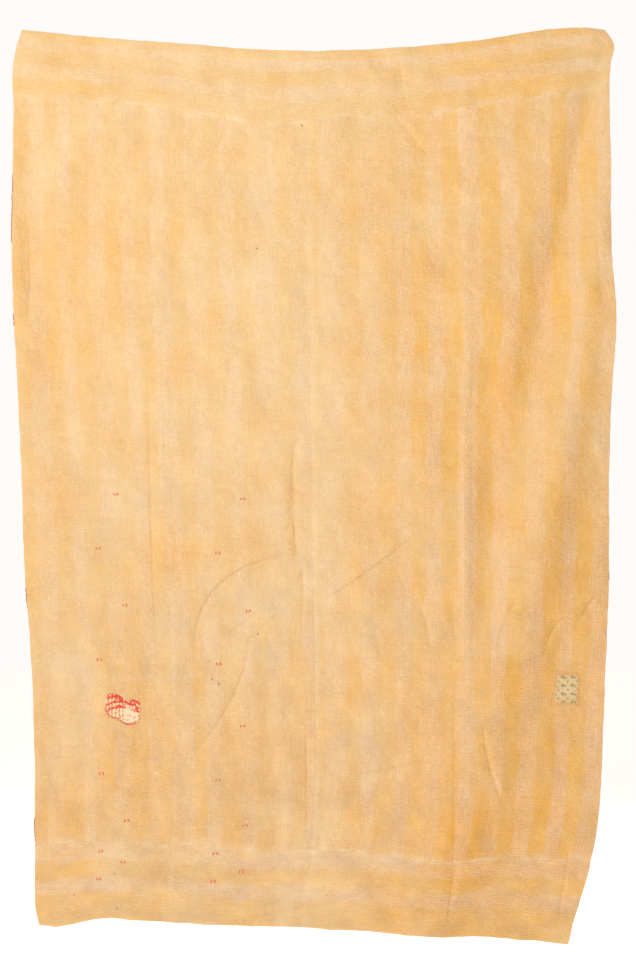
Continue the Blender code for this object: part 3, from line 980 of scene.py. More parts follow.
def stitch_tree():
    """A tree that lays running stitch along the edges of a guide."""
    tree, given = new_tree("Running stitch", {
        "Pitch": STITCH_PITCH, "Length": 0.0050, "Width": 0.0012, "Height": 0.0008,
        "Slip": 0.0009, "Seed": 1, "Sides": 4, "Rings": 2, "Thread": None,
    })
    line = add(tree, "GeometryNodeMeshToCurve", {"Mesh": given["Geometry"]})
    steps = add(tree, "GeometryNodeResampleCurve", {"Curve": line, "Length": given["Pitch"]}, mode="LENGTH")
    aim = add(tree, "GeometryNodeInputNamedAttribute", {"Name": "aim"}, data_type="FLOAT_VECTOR")
    face = add(tree, "GeometryNodeInputNamedAttribute", {"Name": "normal"}, data_type="FLOAT_VECTOR")
    back = add(tree, "ShaderNodeMath", {0: given["Slip"], 1: -1.0}, operation="MULTIPLY")
    slip = add(tree, "FunctionNodeRandomValue", {"Min": back, "Max": given["Slip"], "Seed": given["Seed"]})
    shift = add(tree, "ShaderNodeVectorMath", {0: aim, "Scale": slip}, operation="SCALE")
    slid = add(tree, "GeometryNodeSetPosition", {"Geometry": steps, "Offset": shift})
    ball = {"Segments": given["Sides"], "Rings": given["Rings"], "Radius": 0.5}
    grain = add(tree, "GeometryNodeMeshUVSphere", ball)
    size = {"X": given["Width"], "Y": given["Height"], "Z": given["Length"]}
    size = add(tree, "ShaderNodeCombineXYZ", size)
    thread = add(tree, "GeometryNodeTransform", {"Geometry": grain, "Scale": size})
    turn = add(
        tree, "FunctionNodeAxesToRotation", {"Primary Axis": aim, "Secondary Axis": face},
        primary_axis="Z", secondary_axis="Y",
    )
    uneven = {"Min": (0.80, 0.85, 0.70), "Max": (1.20, 1.15, 1.25), "Seed": given["Seed"]}
    uneven = add(tree, "FunctionNodeRandomValue", uneven, data_type="FLOAT_VECTOR")
    sewn = add(
        tree, "GeometryNodeInstanceOnPoints",
        {"Points": slid, "Instance": thread, "Rotation": turn, "Scale": uneven},
    )
    finish_tree(tree, sewn, given["Thread"])
    return tree


running_stitch = stitch_tree()
print(running_stitch.name, "has", len(running_stitch.nodes), "nodes")


# %% Run a tree on a guide
def grow(name, tree, guide, values):
    """Runs a tree on a guide mesh, and returns what it makes as a plain mesh object."""
    holder = place_piece(name + "_guide", guide)
    modifier = holder.modifiers.new(tree.name, "NODES")
    modifier.node_group = tree
    for socket in tree.interface.items_tree:
        if socket.in_out == "INPUT" and socket.name in values:
            modifier[socket.identifier] = values[socket.name]
    graph = bpy.context.evaluated_depsgraph_get()
    mesh = bpy.data.meshes.new_from_object(holder.evaluated_get(graph))
    bpy.data.objects.remove(holder)
    bpy.data.meshes.remove(guide)
    return place_piece(name, mesh)


# %% Guides on a cloth
def read_layout(values, across, share):
    """A layout's values at shares of its width and depth, between its points."""
    rows = np.clip(share, 0, 1) * (values.shape[0] - 1)
    columns = np.clip(across, 0, 1) * (values.shape[1] - 1)
    row = np.minimum(rows.astype(int), values.shape[0] - 2)
    column = np.minimum(columns.astype(int), values.shape[1] - 2)
    down = rows - row
    right = columns - column
    if values.ndim == 3:
        down = down[..., None]
        right = right[..., None]
    upper = between(values[row, column], values[row, column + 1], right)
    lower = between(values[row + 1, column], values[row + 1, column + 1], right)
    return between(upper, lower, down)


GUIDE_VALUES = ("normal", "flat", "stripe", "strength", "dye_and_shade")


def guide_on(layout, across, share):
    """A mesh of edges along lines of places on a cloth, each line a row of the arrays."""
    points = read_layout(layout["front"], across, share)
    numbers = np.arange(across.size).reshape(across.shape)
    edges = np.stack([numbers[:, :-1], numbers[:, 1:]], -1).reshape(-1, 2)
    mesh = bpy.data.meshes.new("guide")
    mesh.vertices.add(numbers.size)
    mesh.vertices.foreach_set("co", points.astype(np.float32).ravel())
    mesh.edges.add(len(edges))
    mesh.edges.foreach_set("vertices", edges.astype(np.int32).ravel())
    aims = np.gradient(points, axis=1)
    store(mesh, "aim", [aims / np.linalg.norm(aims, axis=-1, keepdims=True)])
    for value in GUIDE_VALUES:
        store(mesh, value, [read_layout(layout[value], across, share)])
    return mesh


# %% [markdown]
# ## Thread and cloth colours
# Cloth and quilting thread were dyed and faded together, so one group of nodes
# gives the colour of the cotton at a place, and both materials use it. It
# reads what the mesh carries: the flat place on the cloth, the stripe phase,
# how far the stripes still differ and how deep the dye is, with the painted
# shade and light of the folds' sides in it.

# %% Colours of the old cotton
PALE_WASHED = "#E9C99F"
PALE_FULL = "#EABC85"
GOLD_WASHED = "#E9C48C"
GOLD_FULL = "#EBB96C"
# This white is for worn places, for the painted highlight beside the stored creases and for the dashes on the
# back.
WORN_WHITE = "#FBEFD6"
SLUB_CREAM = "#F6DFB8"
# The colour is taken times this, darker towards the bottom of the quilt, and the darkening sets in between
# two heights.
LOWER_DARKENING = (0.948, 0.937, 0.958)
FOOT_FROM = -0.7
FOOT_TO = -2.1
DEEPEST_DYE = 1.6
PALEST_DYE = -0.3

# Patches to the metre, across and along the threads, and how far they differ.
Patches = namedtuple("Patches", "per_metre spread detail")
# The dye washed out in blotches, from a hand's width down to a fingertip.
WASHED_PATCHES = [Patches((12.0, 9.0), 0.40, 6.0), Patches((52.0, 38.0), 0.18, 4.0)]
# Grime and wear make it lighter and darker: broad clouds, single threads and grain.
TONE_PATCHES = [
    Patches((8.0, 7.0), 0.045, 5.0),
    Patches((520.0, 14.0), 0.05, 2.0),
    Patches((340.0, 300.0), 0.07, 2.0),
]


def cloud(tree, flat, per_metre, low, high, detail=4.0):
    """Soft patches, so many to the metre across and along the threads, from one value to another."""
    place = add(tree, "ShaderNodeVectorMath", {0: flat, 1: (*per_metre, 0.0)}, operation="MULTIPLY")
    noise = {"Vector": place, "Scale": 1.0, "Detail": detail, "Roughness": 0.6}
    noise = add(tree, "ShaderNodeTexNoise", noise)
    limits = {"Value": noise, "From Min": 0.25, "From Max": 0.75, "To Min": low, "To Max": high}
    return add(tree, "ShaderNodeMapRange", limits)


# %% Stripes of the cotton
def gold_share(tree, flat):
    """How much of a gold stripe a place is, where a half is neither gold nor pale."""
    phase, strength = (
        add(tree, "ShaderNodeAttribute", attribute_name=name, give="Fac") for name in ("stripe", "strength")
    )
    # The stripe edges wander, because the dye ran and the threads have shifted.
    strays = cloud(tree, flat, (34.0, 12.0), -0.11, 0.11)
    phase = add(tree, "ShaderNodeMath", {0: phase, 1: strays}, operation="ADD")
    turn = add(tree, "ShaderNodeMath", {0: phase, 1: math.tau}, operation="MULTIPLY")
    wave = add(tree, "ShaderNodeMath", {0: turn}, operation="SINE")
    gold = add(tree, "ShaderNodeMapRange", {"Value": wave, "From Min": -0.30, "From Max": 0.30})
    patchy = cloud(tree, flat, (17.0, 8.0), 0.05, 1.45)
    strength = add(tree, "ShaderNodeMath", {0: strength, 1: patchy}, operation="MULTIPLY")
    gold = add(tree, "ShaderNodeMath", {0: gold, 1: 0.5}, operation="SUBTRACT")
    gold = {0: gold, 1: strength, 2: 0.5}
    return add(tree, "ShaderNodeMath", gold, operation="MULTIPLY_ADD", use_clamp=True)


def faded_dye(tree, flat):
    """How deep the dye is, blotches and all, with the painted fold shade and light that the mesh carries."""
    deep = add(tree, "ShaderNodeAttribute", attribute_name="dye_and_shade", give="Fac")
    for patches in WASHED_PATCHES:
        blotch = cloud(tree, flat, patches.per_metre, -patches.spread, patches.spread, patches.detail)
        deep = add(tree, "ShaderNodeMath", {0: deep, 1: blotch}, operation="ADD")
    return add(tree, "ShaderNodeClamp", {"Value": deep, "Min": PALEST_DYE, "Max": DEEPEST_DYE})


def foot_share(tree, flat):
    """How much darker a place is, in soft blotches, more so towards the bottom of the quilt."""
    place = add(tree, "ShaderNodeTexCoord", give="Object")
    height = add(tree, "ShaderNodeSeparateXYZ", {"Vector": place}, give="Z")
    foot = add(tree, "ShaderNodeMapRange", {"Value": height, "From Min": FOOT_FROM, "From Max": FOOT_TO})
    blotch = cloud(tree, flat, (20.0, 10.0), -1.2, 3.2)
    return add(tree, "ShaderNodeMath", {0: foot, 1: blotch}, operation="MULTIPLY")


# %% Colour of the cotton
def cotton_colour():
    """A group that gives the cotton's colour, and how much of a gold stripe a place is."""
    tree = bpy.data.node_groups.new("Faded striped cotton", "ShaderNodeTree")
    tree.interface.new_socket("Colour", in_out="OUTPUT", socket_type="NodeSocketColor")
    tree.interface.new_socket("Gold", in_out="OUTPUT", socket_type="NodeSocketFloat")
    flat = add(tree, "ShaderNodeAttribute", attribute_name="flat", give="Vector")
    gold = gold_share(tree, flat)
    deep = faded_dye(tree, flat)
    plain, golden = (
        add(
            tree, "ShaderNodeMix", {"Factor": deep, "A": linear(washed), "B": linear(full)},
            data_type="RGBA", clamp_factor=False,
        )
        for washed, full in ((PALE_WASHED, PALE_FULL), (GOLD_WASHED, GOLD_FULL))
    )
    colour = add(tree, "ShaderNodeMix", {"Factor": gold, "A": plain, "B": golden}, data_type="RGBA")
    # Whitish slubs show along the pale threads.
    slubs = cloud(tree, flat, (430.0, 46.0), -2.1, 1.5, 1.0)
    pale = add(tree, "ShaderNodeMath", {0: 1.0, 1: gold}, operation="SUBTRACT")
    slubs = add(tree, "ShaderNodeMath", {0: slubs, 1: pale}, operation="MULTIPLY", use_clamp=True)
    slubs = add(tree, "ShaderNodeMath", {0: slubs, 1: 0.35}, operation="MULTIPLY")
    colour = add(
        tree, "ShaderNodeMix", {"Factor": slubs, "A": colour, "B": linear(SLUB_CREAM)}, data_type="RGBA",
    )
    for patches in TONE_PATCHES:
        tone = cloud(tree, flat, patches.per_metre, 1 - patches.spread, 1 + patches.spread, patches.detail)
        colour = add(tree, "ShaderNodeVectorMath", {0: colour, "Scale": tone}, operation="SCALE")
    darkened = add(tree, "ShaderNodeVectorMath", {0: colour, 1: LOWER_DARKENING}, operation="MULTIPLY")
    colour = add(
        tree, "ShaderNodeMix", {"Factor": foot_share(tree, flat), "A": colour, "B": darkened},
        data_type="RGBA", clamp_factor=False,
    )
    add(tree, "NodeGroupOutput", {"Colour": colour, "Gold": gold})
    return tree


cotton_colour_group = cotton_colour()
print(cotton_colour_group.name, "has", len(cotton_colour_group.nodes), "nodes")


# %% Start and end of a material
def new_material(name, roughness, sheen=0.0):
    """A Principled material with even settings on its own sockets."""
    material = bpy.data.materials.new(name)
    material.use_nodes = True
    shader = material.node_tree.nodes["Principled BSDF"]
    shader.inputs["Roughness"].default_value = roughness
    shader.inputs["Specular IOR Level"].default_value = 0.15
    shader.inputs["Sheen Weight"].default_value = sheen
    return material, material.node_tree, shader


def finish_material(tree, shader, colour, height):
    """Links a colour, and a height in millimetres as bump, to a shader."""
    bump = add(tree, "ShaderNodeBump", {"Height": height, "Distance": 0.001})
    tree.links.new(colour, shader.inputs["Base Color"])
    tree.links.new(bump, shader.inputs["Normal"])


# %% [markdown]
# ## Quilted cotton
# Between two rows of running stitch the layers stand up in a soft rib. The
# ribs are 6 mm apart and less than a millimetre high, so they are a bump in
# the material. The bump also has short ripples across the ribs, where the
# stitches draw the cloth up, and the weave of plain cotton, two threads to
# the millimetre. A little sheen gives the fuzz that washing leaves.

# %% Lines and ripples
CREASE_LINE_WIDTH = 0.0026
CREASE_LINE_STRAY = 0.0014
# Ripples in a row gap and in a stitch.
RIPPLES = (0.55, 1.1, 1.0)


def crease_line(tree):
    """How much a place is in the sharp line of a crease, worked out finer than the mesh."""
    crease, flat = (
        add(tree, "ShaderNodeAttribute", attribute_name=name, give="Vector") for name in ("crease", "flat")
    )
    away, weight = (add(tree, "ShaderNodeSeparateXYZ", {"Vector": crease}, give=axis) for axis in "XY")
    patchy = cloud(tree, flat, (38.0, 38.0), 0.25, 1.15)
    strays = cloud(tree, flat, (65.0, 65.0), -CREASE_LINE_STRAY, CREASE_LINE_STRAY)
    weight = add(tree, "ShaderNodeMath", {0: weight, 1: patchy}, operation="MULTIPLY")
    away = add(tree, "ShaderNodeMath", {0: away, 1: strays}, operation="ADD")
    away = add(tree, "ShaderNodeMath", {0: away, 1: 1 / CREASE_LINE_WIDTH}, operation="MULTIPLY")
    away = add(tree, "ShaderNodeMath", {0: away, 1: away}, operation="MULTIPLY")
    away = add(tree, "ShaderNodeMath", {0: away, 1: -1.0}, operation="MULTIPLY")
    line = add(tree, "ShaderNodeMath", {0: away}, operation="EXPONENT")
    return add(tree, "ShaderNodeMath", {0: line, 1: weight}, operation="MULTIPLY")


def quilting_ripple(tree):
    """The short ripples between two stitches, around a half."""
    row = add(tree, "ShaderNodeAttribute", attribute_name="row", give="Vector")
    place = add(tree, "ShaderNodeVectorMath", {0: row, 1: RIPPLES}, operation="MULTIPLY")
    return add(tree, "ShaderNodeTexNoise", {"Vector": place, "Scale": 1.0, "Detail": 2.0})


# %% Height of the quilting
# Radians to the metre, for two threads to the millimetre.
WEAVE = (6280.0, 6280.0, 0.0)
# Heights in millimetres. The ripples are lower where the dye has washed out.
RIB_LOW = 0.10
RIB_HIGH = 0.50
RIPPLE_WASHED = 1.3
RIPPLE_FULL = 3.4
CREASE_HEIGHT = -0.8
WEAVE_HEIGHT = 0.05


def quilting_height(tree):
    """The ribs, ripples, crease lines and weave as one height in millimetres."""
    row, flat = (
        add(tree, "ShaderNodeAttribute", attribute_name=name, give="Vector") for name in ("row", "flat")
    )
    across_rows = add(tree, "ShaderNodeSeparateXYZ", {"Vector": row}, give="X")
    turn = add(tree, "ShaderNodeMath", {0: across_rows, 1: math.pi}, operation="MULTIPLY")
    wave = add(tree, "ShaderNodeMath", {0: turn}, operation="SINE")
    arch = add(tree, "ShaderNodeMath", {0: wave}, operation="ABSOLUTE")
    rib = cloud(tree, flat, (13.0, 9.0), RIB_LOW, RIB_HIGH)
    height = add(tree, "ShaderNodeMath", {0: arch, 1: rib}, operation="MULTIPLY")
    # Places that washing has faded most have also felted smooth.
    dye_and_shade = add(tree, "ShaderNodeAttribute", attribute_name="dye_and_shade", give="Fac")
    ripple = add(tree, "ShaderNodeMapRange", {"Value": dye_and_shade, "To Min": RIPPLE_WASHED, "To Max": RIPPLE_FULL})
    weave = add(tree, "ShaderNodeVectorMath", {0: flat, 1: WEAVE}, operation="MULTIPLY")
    weave = add(tree, "ShaderNodeVectorMath", {0: weave}, operation="SINE")
    weave = {0: weave, 1: (0.5, 0.5, 0.0)}
    weave = add(tree, "ShaderNodeVectorMath", weave, operation="DOT_PRODUCT", give="Value")
    layers = ((quilting_ripple(tree), ripple), (crease_line(tree), CREASE_HEIGHT), (weave, WEAVE_HEIGHT))
    for form, depth in layers:
        height = add(tree, "ShaderNodeMath", {0: form, 1: depth, 2: height}, operation="MULTIPLY_ADD")
    return height


# %% Cotton of the front
# Painted shade: the low points of the ripples are darker and warmer, and the crease lines more so.
RIPPLE_PAINTED_SHADE = (0.975, 0.945, 0.89)
CREASE_PAINTED_SHADE = (0.85, 0.75, 0.60)


def sari_cotton():
    # Dull and soft: worn cotton scatters light, with no gloss to show.
    material, tree, shader = new_material("Hand-woven sari cotton", 0.95, sheen=0.03)
    colour = add(tree, "ShaderNodeGroup", give="Colour", node_tree=cotton_colour_group)
    # Worn places, and the painted highlight beside the stored creases, turn towards a worn white.
    worn_and_lit = add(tree, "ShaderNodeAttribute", attribute_name="worn_and_lit", give="Fac")
    flat = add(tree, "ShaderNodeAttribute", attribute_name="flat", give="Vector")
    patchy = cloud(tree, flat, (90.0, 60.0), 0.0, 1.2)
    worn_and_lit = add(tree, "ShaderNodeMath", {0: worn_and_lit, 1: patchy}, operation="MULTIPLY")
    colour = add(
        tree, "ShaderNodeMix", {"Factor": worn_and_lit, "A": colour, "B": linear(WORN_WHITE)}, data_type="RGBA",
    )
    low = {"Value": quilting_ripple(tree), "From Min": 0.60, "From Max": 0.35}
    low = add(tree, "ShaderNodeMapRange", low)
    # Painted shade, warm and dark, in the ripples' low points and along the crease lines.
    for share, tint in ((low, RIPPLE_PAINTED_SHADE), (crease_line(tree), CREASE_PAINTED_SHADE)):
        shaded_colour = add(tree, "ShaderNodeVectorMath", {0: colour, 1: tint}, operation="MULTIPLY")
        colour = add(tree, "ShaderNodeMix", {"Factor": share, "A": colour, "B": shaded_colour}, data_type="RGBA")
    finish_material(tree, shader, colour, quilting_height(tree))
    return material


# %% [markdown]
# ## Backing cotton
# The back of such a quilt is one plain cloth, where the rows of quilting show
# as short pale dashes. They could be sewn like those of the front. The back is
# seldom seen, so they are drawn in its material instead, from the row numbers
# that the cloth already carries.

# %% Cotton of the back
# Row dashes on the back: their width in rows, the share of a pitch, and their height in mm.
BACK_DASH_WIDTH = 0.10
BACK_DASH_LENGTH = 0.42
BACK_DASH_HEIGHT = 0.4


def back_dash(tree):
    """1 in a dash and 0 between them, each row of dashes starting at a place of its own."""
    row = add(tree, "ShaderNodeAttribute", attribute_name="row", give="Vector")
    whole = add(tree, "ShaderNodeVectorMath", {0: row}, operation="FLOOR")
    start = add(tree, "ShaderNodeSeparateXYZ", {"Vector": whole}, give="X")
    start = add(tree, "ShaderNodeTexWhiteNoise", {"W": start}, noise_dimensions="1D")
    across, down = (add(tree, "ShaderNodeSeparateXYZ", {"Vector": row}, give=axis) for axis in "XY")
    down = add(tree, "ShaderNodeMath", {0: down, 1: start}, operation="ADD")
    down = add(tree, "ShaderNodeMath", {0: down, 1: 1.0}, operation="WRAP")
    across = add(tree, "ShaderNodeMath", {0: across, 1: 0.5}, operation="PINGPONG")
    in_row = add(tree, "ShaderNodeMath", {0: across, 1: BACK_DASH_WIDTH}, operation="LESS_THAN")
    in_step = add(tree, "ShaderNodeMath", {0: down, 1: BACK_DASH_LENGTH}, operation="LESS_THAN")
    return add(tree, "ShaderNodeMath", {0: in_row, 1: in_step}, operation="MULTIPLY")


def backing_cotton():
    # One plain gold cotton, as dull as the front, with the quilting as small pale dashes.
    material, tree, shader = new_material("Plain backing cotton", 0.95, sheen=0.03)
    flat = add(tree, "ShaderNodeAttribute", attribute_name="flat", give="Vector")
    dye_and_shade = add(tree, "ShaderNodeAttribute", attribute_name="dye_and_shade", give="Fac")
    blotch = add(tree, "ShaderNodeTexNoise", {"Vector": flat, "Scale": 22.0, "Detail": 4.0, "Roughness": 0.6})
    deep = add(tree, "ShaderNodeMath", {0: dye_and_shade, 1: blotch}, operation="MULTIPLY", use_clamp=True)
    dash = back_dash(tree)
    colour = linear(GOLD_WASHED)
    for share, code in ((deep, GOLD_FULL), (dash, WORN_WHITE)):
        mix = {"Factor": share, "A": colour, "B": linear(code)}
        colour = add(tree, "ShaderNodeMix", mix, data_type="RGBA")
    height = {0: dash, 1: BACK_DASH_HEIGHT, 2: quilting_height(tree)}
    height = add(tree, "ShaderNodeMath", height, operation="MULTIPLY_ADD")
    finish_material(tree, shader, colour, height)
    return material


# %% [markdown]
# ## Threads
# The quilting thread is soft cotton, and it took some colour from the cloth
# that it lies in, so its material starts from the cloth's own colour. The
# marks, the hems of the mends and the inner layer are plain dyed cottons. They
# differ only in colour, so one function makes them all.

# %% Quilting thread
THREAD_WHITE = "#FFF1DA"


def quilting_thread():
    # Off-white cotton thread, which has taken some gold where it crosses a gold stripe.
    material, tree, shader = new_material("Quilting thread, off-white cotton", 0.85, sheen=0.03)
    colour = add(tree, "ShaderNodeGroup", give="Colour", node_tree=cotton_colour_group)
    gold = add(tree, "ShaderNodeGroup", give="Gold", node_tree=cotton_colour_group)
    share = add(tree, "ShaderNodeMapRange", {"Value": gold, "To Min": 0.85, "To Max": 0.35})
    # It is lost on washed-out cloth and shows white on deep dye.
    dye_and_shade = add(tree, "ShaderNodeAttribute", attribute_name="dye_and_shade", give="Fac")
    shows = add(tree, "ShaderNodeMapRange", {"Value": dye_and_shade, "To Min": 0.55, "To Max": 1.00})
    share = add(tree, "ShaderNodeMath", {0: share, 1: shows}, operation="MULTIPLY", use_clamp=True)
    colour = add(
        tree, "ShaderNodeMix", {"Factor": share, "A": colour, "B": linear(THREAD_WHITE)}, data_type="RGBA",
    )
    tree.links.new(colour, shader.inputs["Base Color"])
    return material


# %% Plain dyed cottons
PLAIN_DYE_PATCHES = 160.0
PLAIN_DYE_SPREAD = 0.15


def plain_cotton(name, code):
    """A cotton thread or cloth of one colour, with a slight unevenness in the dye."""
    material, tree, shader = new_material(name, 0.88, sheen=0.10)
    place = add(tree, "ShaderNodeTexCoord", give="Object")
    tone = add(tree, "ShaderNodeTexNoise", {"Vector": place, "Scale": PLAIN_DYE_PATCHES, "Detail": 2.0})
    limits = {"Value": tone, "To Min": 1 - PLAIN_DYE_SPREAD, "To Max": 1 + PLAIN_DYE_SPREAD}
    tone = add(tree, "ShaderNodeMapRange", limits)
    colour = add(tree, "ShaderNodeVectorMath", {0: linear(code)[:3], "Scale": tone}, operation="SCALE")
    tree.links.new(colour, shader.inputs["Base Color"])
    return material


# %% Make the cottons and threads
front_cotton = sari_cotton()
back_cotton = backing_cotton()
thread = quilting_thread()
# Each stands out from the gold cloth by hue alone, as bits of leftover thread do.
red_thread = plain_cotton("Mark thread, tomato red", "#CB6445")
salmon_thread = plain_cotton("Mark thread, faded salmon", "#F2A67C")
yellow_thread = plain_cotton("Mark thread, faded yellow", "#F3D38C")
dark_thread = plain_cotton("Mark thread, warm grey", "#A88F74")
gold_thread = plain_cotton("Hemming thread, gold", "#E8A655")
red_layer = plain_cotton("Inner sari layer, wine red", "#B4576A")
for cloth in cloths.values():
    cloth.data.materials.append(front_cotton)
    cloth.data.materials.append(back_cotton)
print("materials:", len(bpy.data.materials))

# %% [markdown]
# ## Sewing the quilt
# The rows run down the quilt, 6 mm apart, and no hand keeps them straight. A
# smooth noise moves each row sideways by up to a quarter of the gap. The same
# noise is in the cloth's row numbers, so that the ribs keep between the rows.
# The wide panel is sewn in three pieces, to keep each mesh a handy size.

# %% Sew the rows
ROW_MARGIN = 3
POINTS_PER_ROW = 150
# A row ends this many stitches before the edge.
ROW_ENDS_SHORT = 1.5


def sew_rows(name, panel, rows, seed):
    """The stitches of some rows of a panel."""
    pitch = STITCH_PITCH / panel.length
    starts = np.random.default_rng(seed).uniform(0.2, 1.0, (len(rows), 1)) * pitch
    share = starts + np.linspace(0, 1, POINTS_PER_ROW) * (1 - ROW_ENDS_SHORT * pitch - starts)
    along = np.repeat(rows[:, None] * ROW_SPACING, POINTS_PER_ROW, 1)
    along += ROW_SPACING * row_wobble(along, share * panel.length)
    guide = guide_on(layouts[panel.name], along / QUILT_WIDTH, share)
    return grow(name, running_stitch, guide, {"Thread": thread, "Seed": seed})


row_numbers = np.arange(ROW_MARGIN, int(QUILT_WIDTH / ROW_SPACING) - ROW_MARGIN + 2).astype(float)
sewn = {panel.name: [] for panel in PANELS}
for part, rows in enumerate(np.array_split(row_numbers, 3)):
    name = "main_panel_stitches_" + ("left", "middle", "right")[part]
    sewn[MAIN_PANEL.name].append(sew_rows(name, MAIN_PANEL, rows, 51 + part))
for panel in (TOP_BAND, BOTTOM_BAND):
    sewn[panel.name].append(sew_rows(panel.node + "_stitches", panel, row_numbers, 57))
for pieces in sewn.values():
    for piece in pieces:
        print(piece.name, len(piece.data.polygons), "faces")

# %% [markdown]
# ## Hems and seams
# The raw edges are turned in and caught down with longer, looser stitches,
# 6 mm from the edge. The same stitch holds each band to the wide panel. At
# the sides a sliver of the wine red layer inside shows where the hem has worn
# through. A chain of overlapping grains, set right on the edge, makes it look
# frayed, so the stitch tree serves again with other sizes.

# %% Sew the hems and seams
HEM_STITCH_INSET = 0.006
SEAM_STITCH_INSET = 0.0035
HEM_SIZES = {"Thread": thread, "Pitch": 0.0092, "Length": 0.0052, "Width": 0.0013}
# How far the stitches stray, as a share of the panel, and how often along its edge.
HEM_STRAY = 0.0008
HEM_STRAYS = 30
# Where a line starts and ends, as shares of its edge.
ACROSS_ENDS = (0.004, 0.996)
DOWN_ENDS = (0.01, 0.99)
POINTS_PER_HEM = 600


def across_line(panel, inset):
    """A line across a panel, an inset from its upper edge, or its lower one if negative."""
    share = inset / panel.length if inset > 0 else 1 + inset / panel.length
    return np.linspace(*ACROSS_ENDS, POINTS_PER_HEM), np.full(POINTS_PER_HEM, share)


def side_line(across):
    """A line down a panel, a share of the way across it."""
    return np.full(POINTS_PER_HEM, across), np.linspace(*DOWN_ENDS, POINTS_PER_HEM)


def sew_hems(panel, seed):
    """The stitches along the two sides, the upper edge and the lower edge of a panel."""
    side_inset = HEM_STITCH_INSET / QUILT_WIDTH
    upper_inset = HEM_STITCH_INSET if panel == TOP_BAND else SEAM_STITCH_INSET
    lower_inset = HEM_STITCH_INSET if panel == BOTTOM_BAND else SEAM_STITCH_INSET
    lines = [
        side_line(side_inset),
        side_line(1 - side_inset),
        across_line(panel, upper_inset),
        across_line(panel, -lower_inset),
    ]
    across, share = (np.array(axis) for axis in zip(*lines))
    across = across + HEM_STRAY * soft_noise(across * HEM_STRAYS, share * HEM_STRAYS, seed)
    guide = guide_on(layouts[panel.name], across, share)
    return grow(panel.node + "_hem_stitches", running_stitch, guide, {**HEM_SIZES, "Seed": seed})


for number, panel in enumerate(PANELS):
    hem_stitches = sew_hems(panel, 61 + number)
    sewn[panel.name].append(hem_stitches)
    print(hem_stitches.name, len(hem_stitches.data.polygons), "faces")

# %% Show the inner layer at the sides
# The inner layer's slivers, as drops along a side of the wide panel.
Sliver = namedtuple("Sliver", "side start end")
SLIVERS = [
    Sliver("left", 0.300, 0.457),
    Sliver("left", 1.304, 1.333),
    Sliver("left", 1.861, 1.914),
    Sliver("right", 1.268, 1.280),
    Sliver("left", 0.640, 0.662),
]
POINTS_PER_SLIVER = 12
SLIVER_X = 0.70
# Grains longer than their pitch overlap in a chain.
SLIVER_SIZES = {"Pitch": 0.0045, "Length": 0.0085, "Width": 0.0026, "Height": 0.0016}
# Rounds of closing in on a place. Each leaves a small part of the miss.
FIND_ROUNDS = 8


def find_on(panel, x, drop):
    """The shares across and down a panel that lie at an x and a drop."""
    across = np.clip(x / QUILT_WIDTH + 0.5, 0, 1)
    for _ in range(FIND_ROUNDS):
        upper = read_table(LEVELS, panel.upper, across)
        lower = read_table(LEVELS, panel.lower, across)
        share = np.clip((drop - upper) / (lower - upper), 0, 1)
        x_there, _ = front_place(across, panel.upper, panel.lower, share)
        across = np.clip(across + (x - x_there) / QUILT_WIDTH, 0, 1)
    return across, share


def inner_layer():
    """A chain of grains along each worn stretch of the wide panel's side edges."""
    drops = np.stack([np.linspace(sliver.start, sliver.end, POINTS_PER_SLIVER) for sliver in SLIVERS])
    sides = np.array([[-1.0 if sliver.side == "left" else 1.0] for sliver in SLIVERS]) + np.zeros_like(drops)
    _, share = find_on(MAIN_PANEL, SLIVER_X * sides, drops)
    guide = guide_on(layouts[MAIN_PANEL.name], 0.5 + 0.5 * sides, share)
    sizes = {"Thread": red_layer, "Seed": 71, **SLIVER_SIZES}
    return grow("inner_layer_slivers", running_stitch, guide, sizes)


sewn[MAIN_PANEL.name].append(inner_layer())
print("slivers of the inner layer:", len(SLIVERS))

# %% [markdown]
# ## Small coloured marks
# The old sari had a sparse motif, a pair of small commas, and now only some
# of it still shows: red in four loose columns, a few in faded yellow, and
# single knots of dark thread. Each mark is a few fat grains of thread.

# %% Table of the marks
Mark = namedtuple("Mark", "colour x drop")
MARKS = [
    Mark("red", -0.472, 1.072),
    Mark("red", -0.515, 1.203),
    Mark("red", -0.450, 1.341),
    Mark("red", -0.511, 1.471),
    Mark("red", -0.506, 1.747),
    Mark("red", -0.445, 1.859),
    Mark("red", -0.508, 1.936),
    Mark("red", -0.453, 1.960),
    Mark("red", -0.513, 2.004),
    Mark("red", -0.165, 1.084),
    Mark("red", -0.225, 1.215),
    Mark("red", -0.152, 1.355),
    Mark("red", -0.223, 1.483),
    Mark("red", -0.165, 1.633),
    Mark("red", -0.225, 1.764),
    Mark("red", -0.160, 1.875),
    Mark("red", -0.232, 1.943),
    Mark("red", -0.169, 1.987),
    Mark("red", -0.237, 2.009),
    Mark("yellow", -0.673, 1.200),
    Mark("yellow", -0.663, 1.476),
    Mark("yellow", -0.380, 1.479),
    Mark("yellow", -0.312, 1.621),
    Mark("yellow", -0.646, 1.759),
    Mark("yellow", -0.375, 1.747),
    Mark("yellow", -0.022, 1.636),
    Mark("yellow", -0.554, 0.317),
    Mark("dark", -0.022, 0.181),
    Mark("dark", -0.131, 0.479),
    Mark("dark", -0.128, 1.411),
    Mark("dark", -0.240, 1.520),
    Mark("dark", -0.223, 1.532),
    Mark("dark", -0.474, 1.989),
    Mark("dark", -0.469, 2.072),
    Mark("dark", -0.574, 2.045),
]
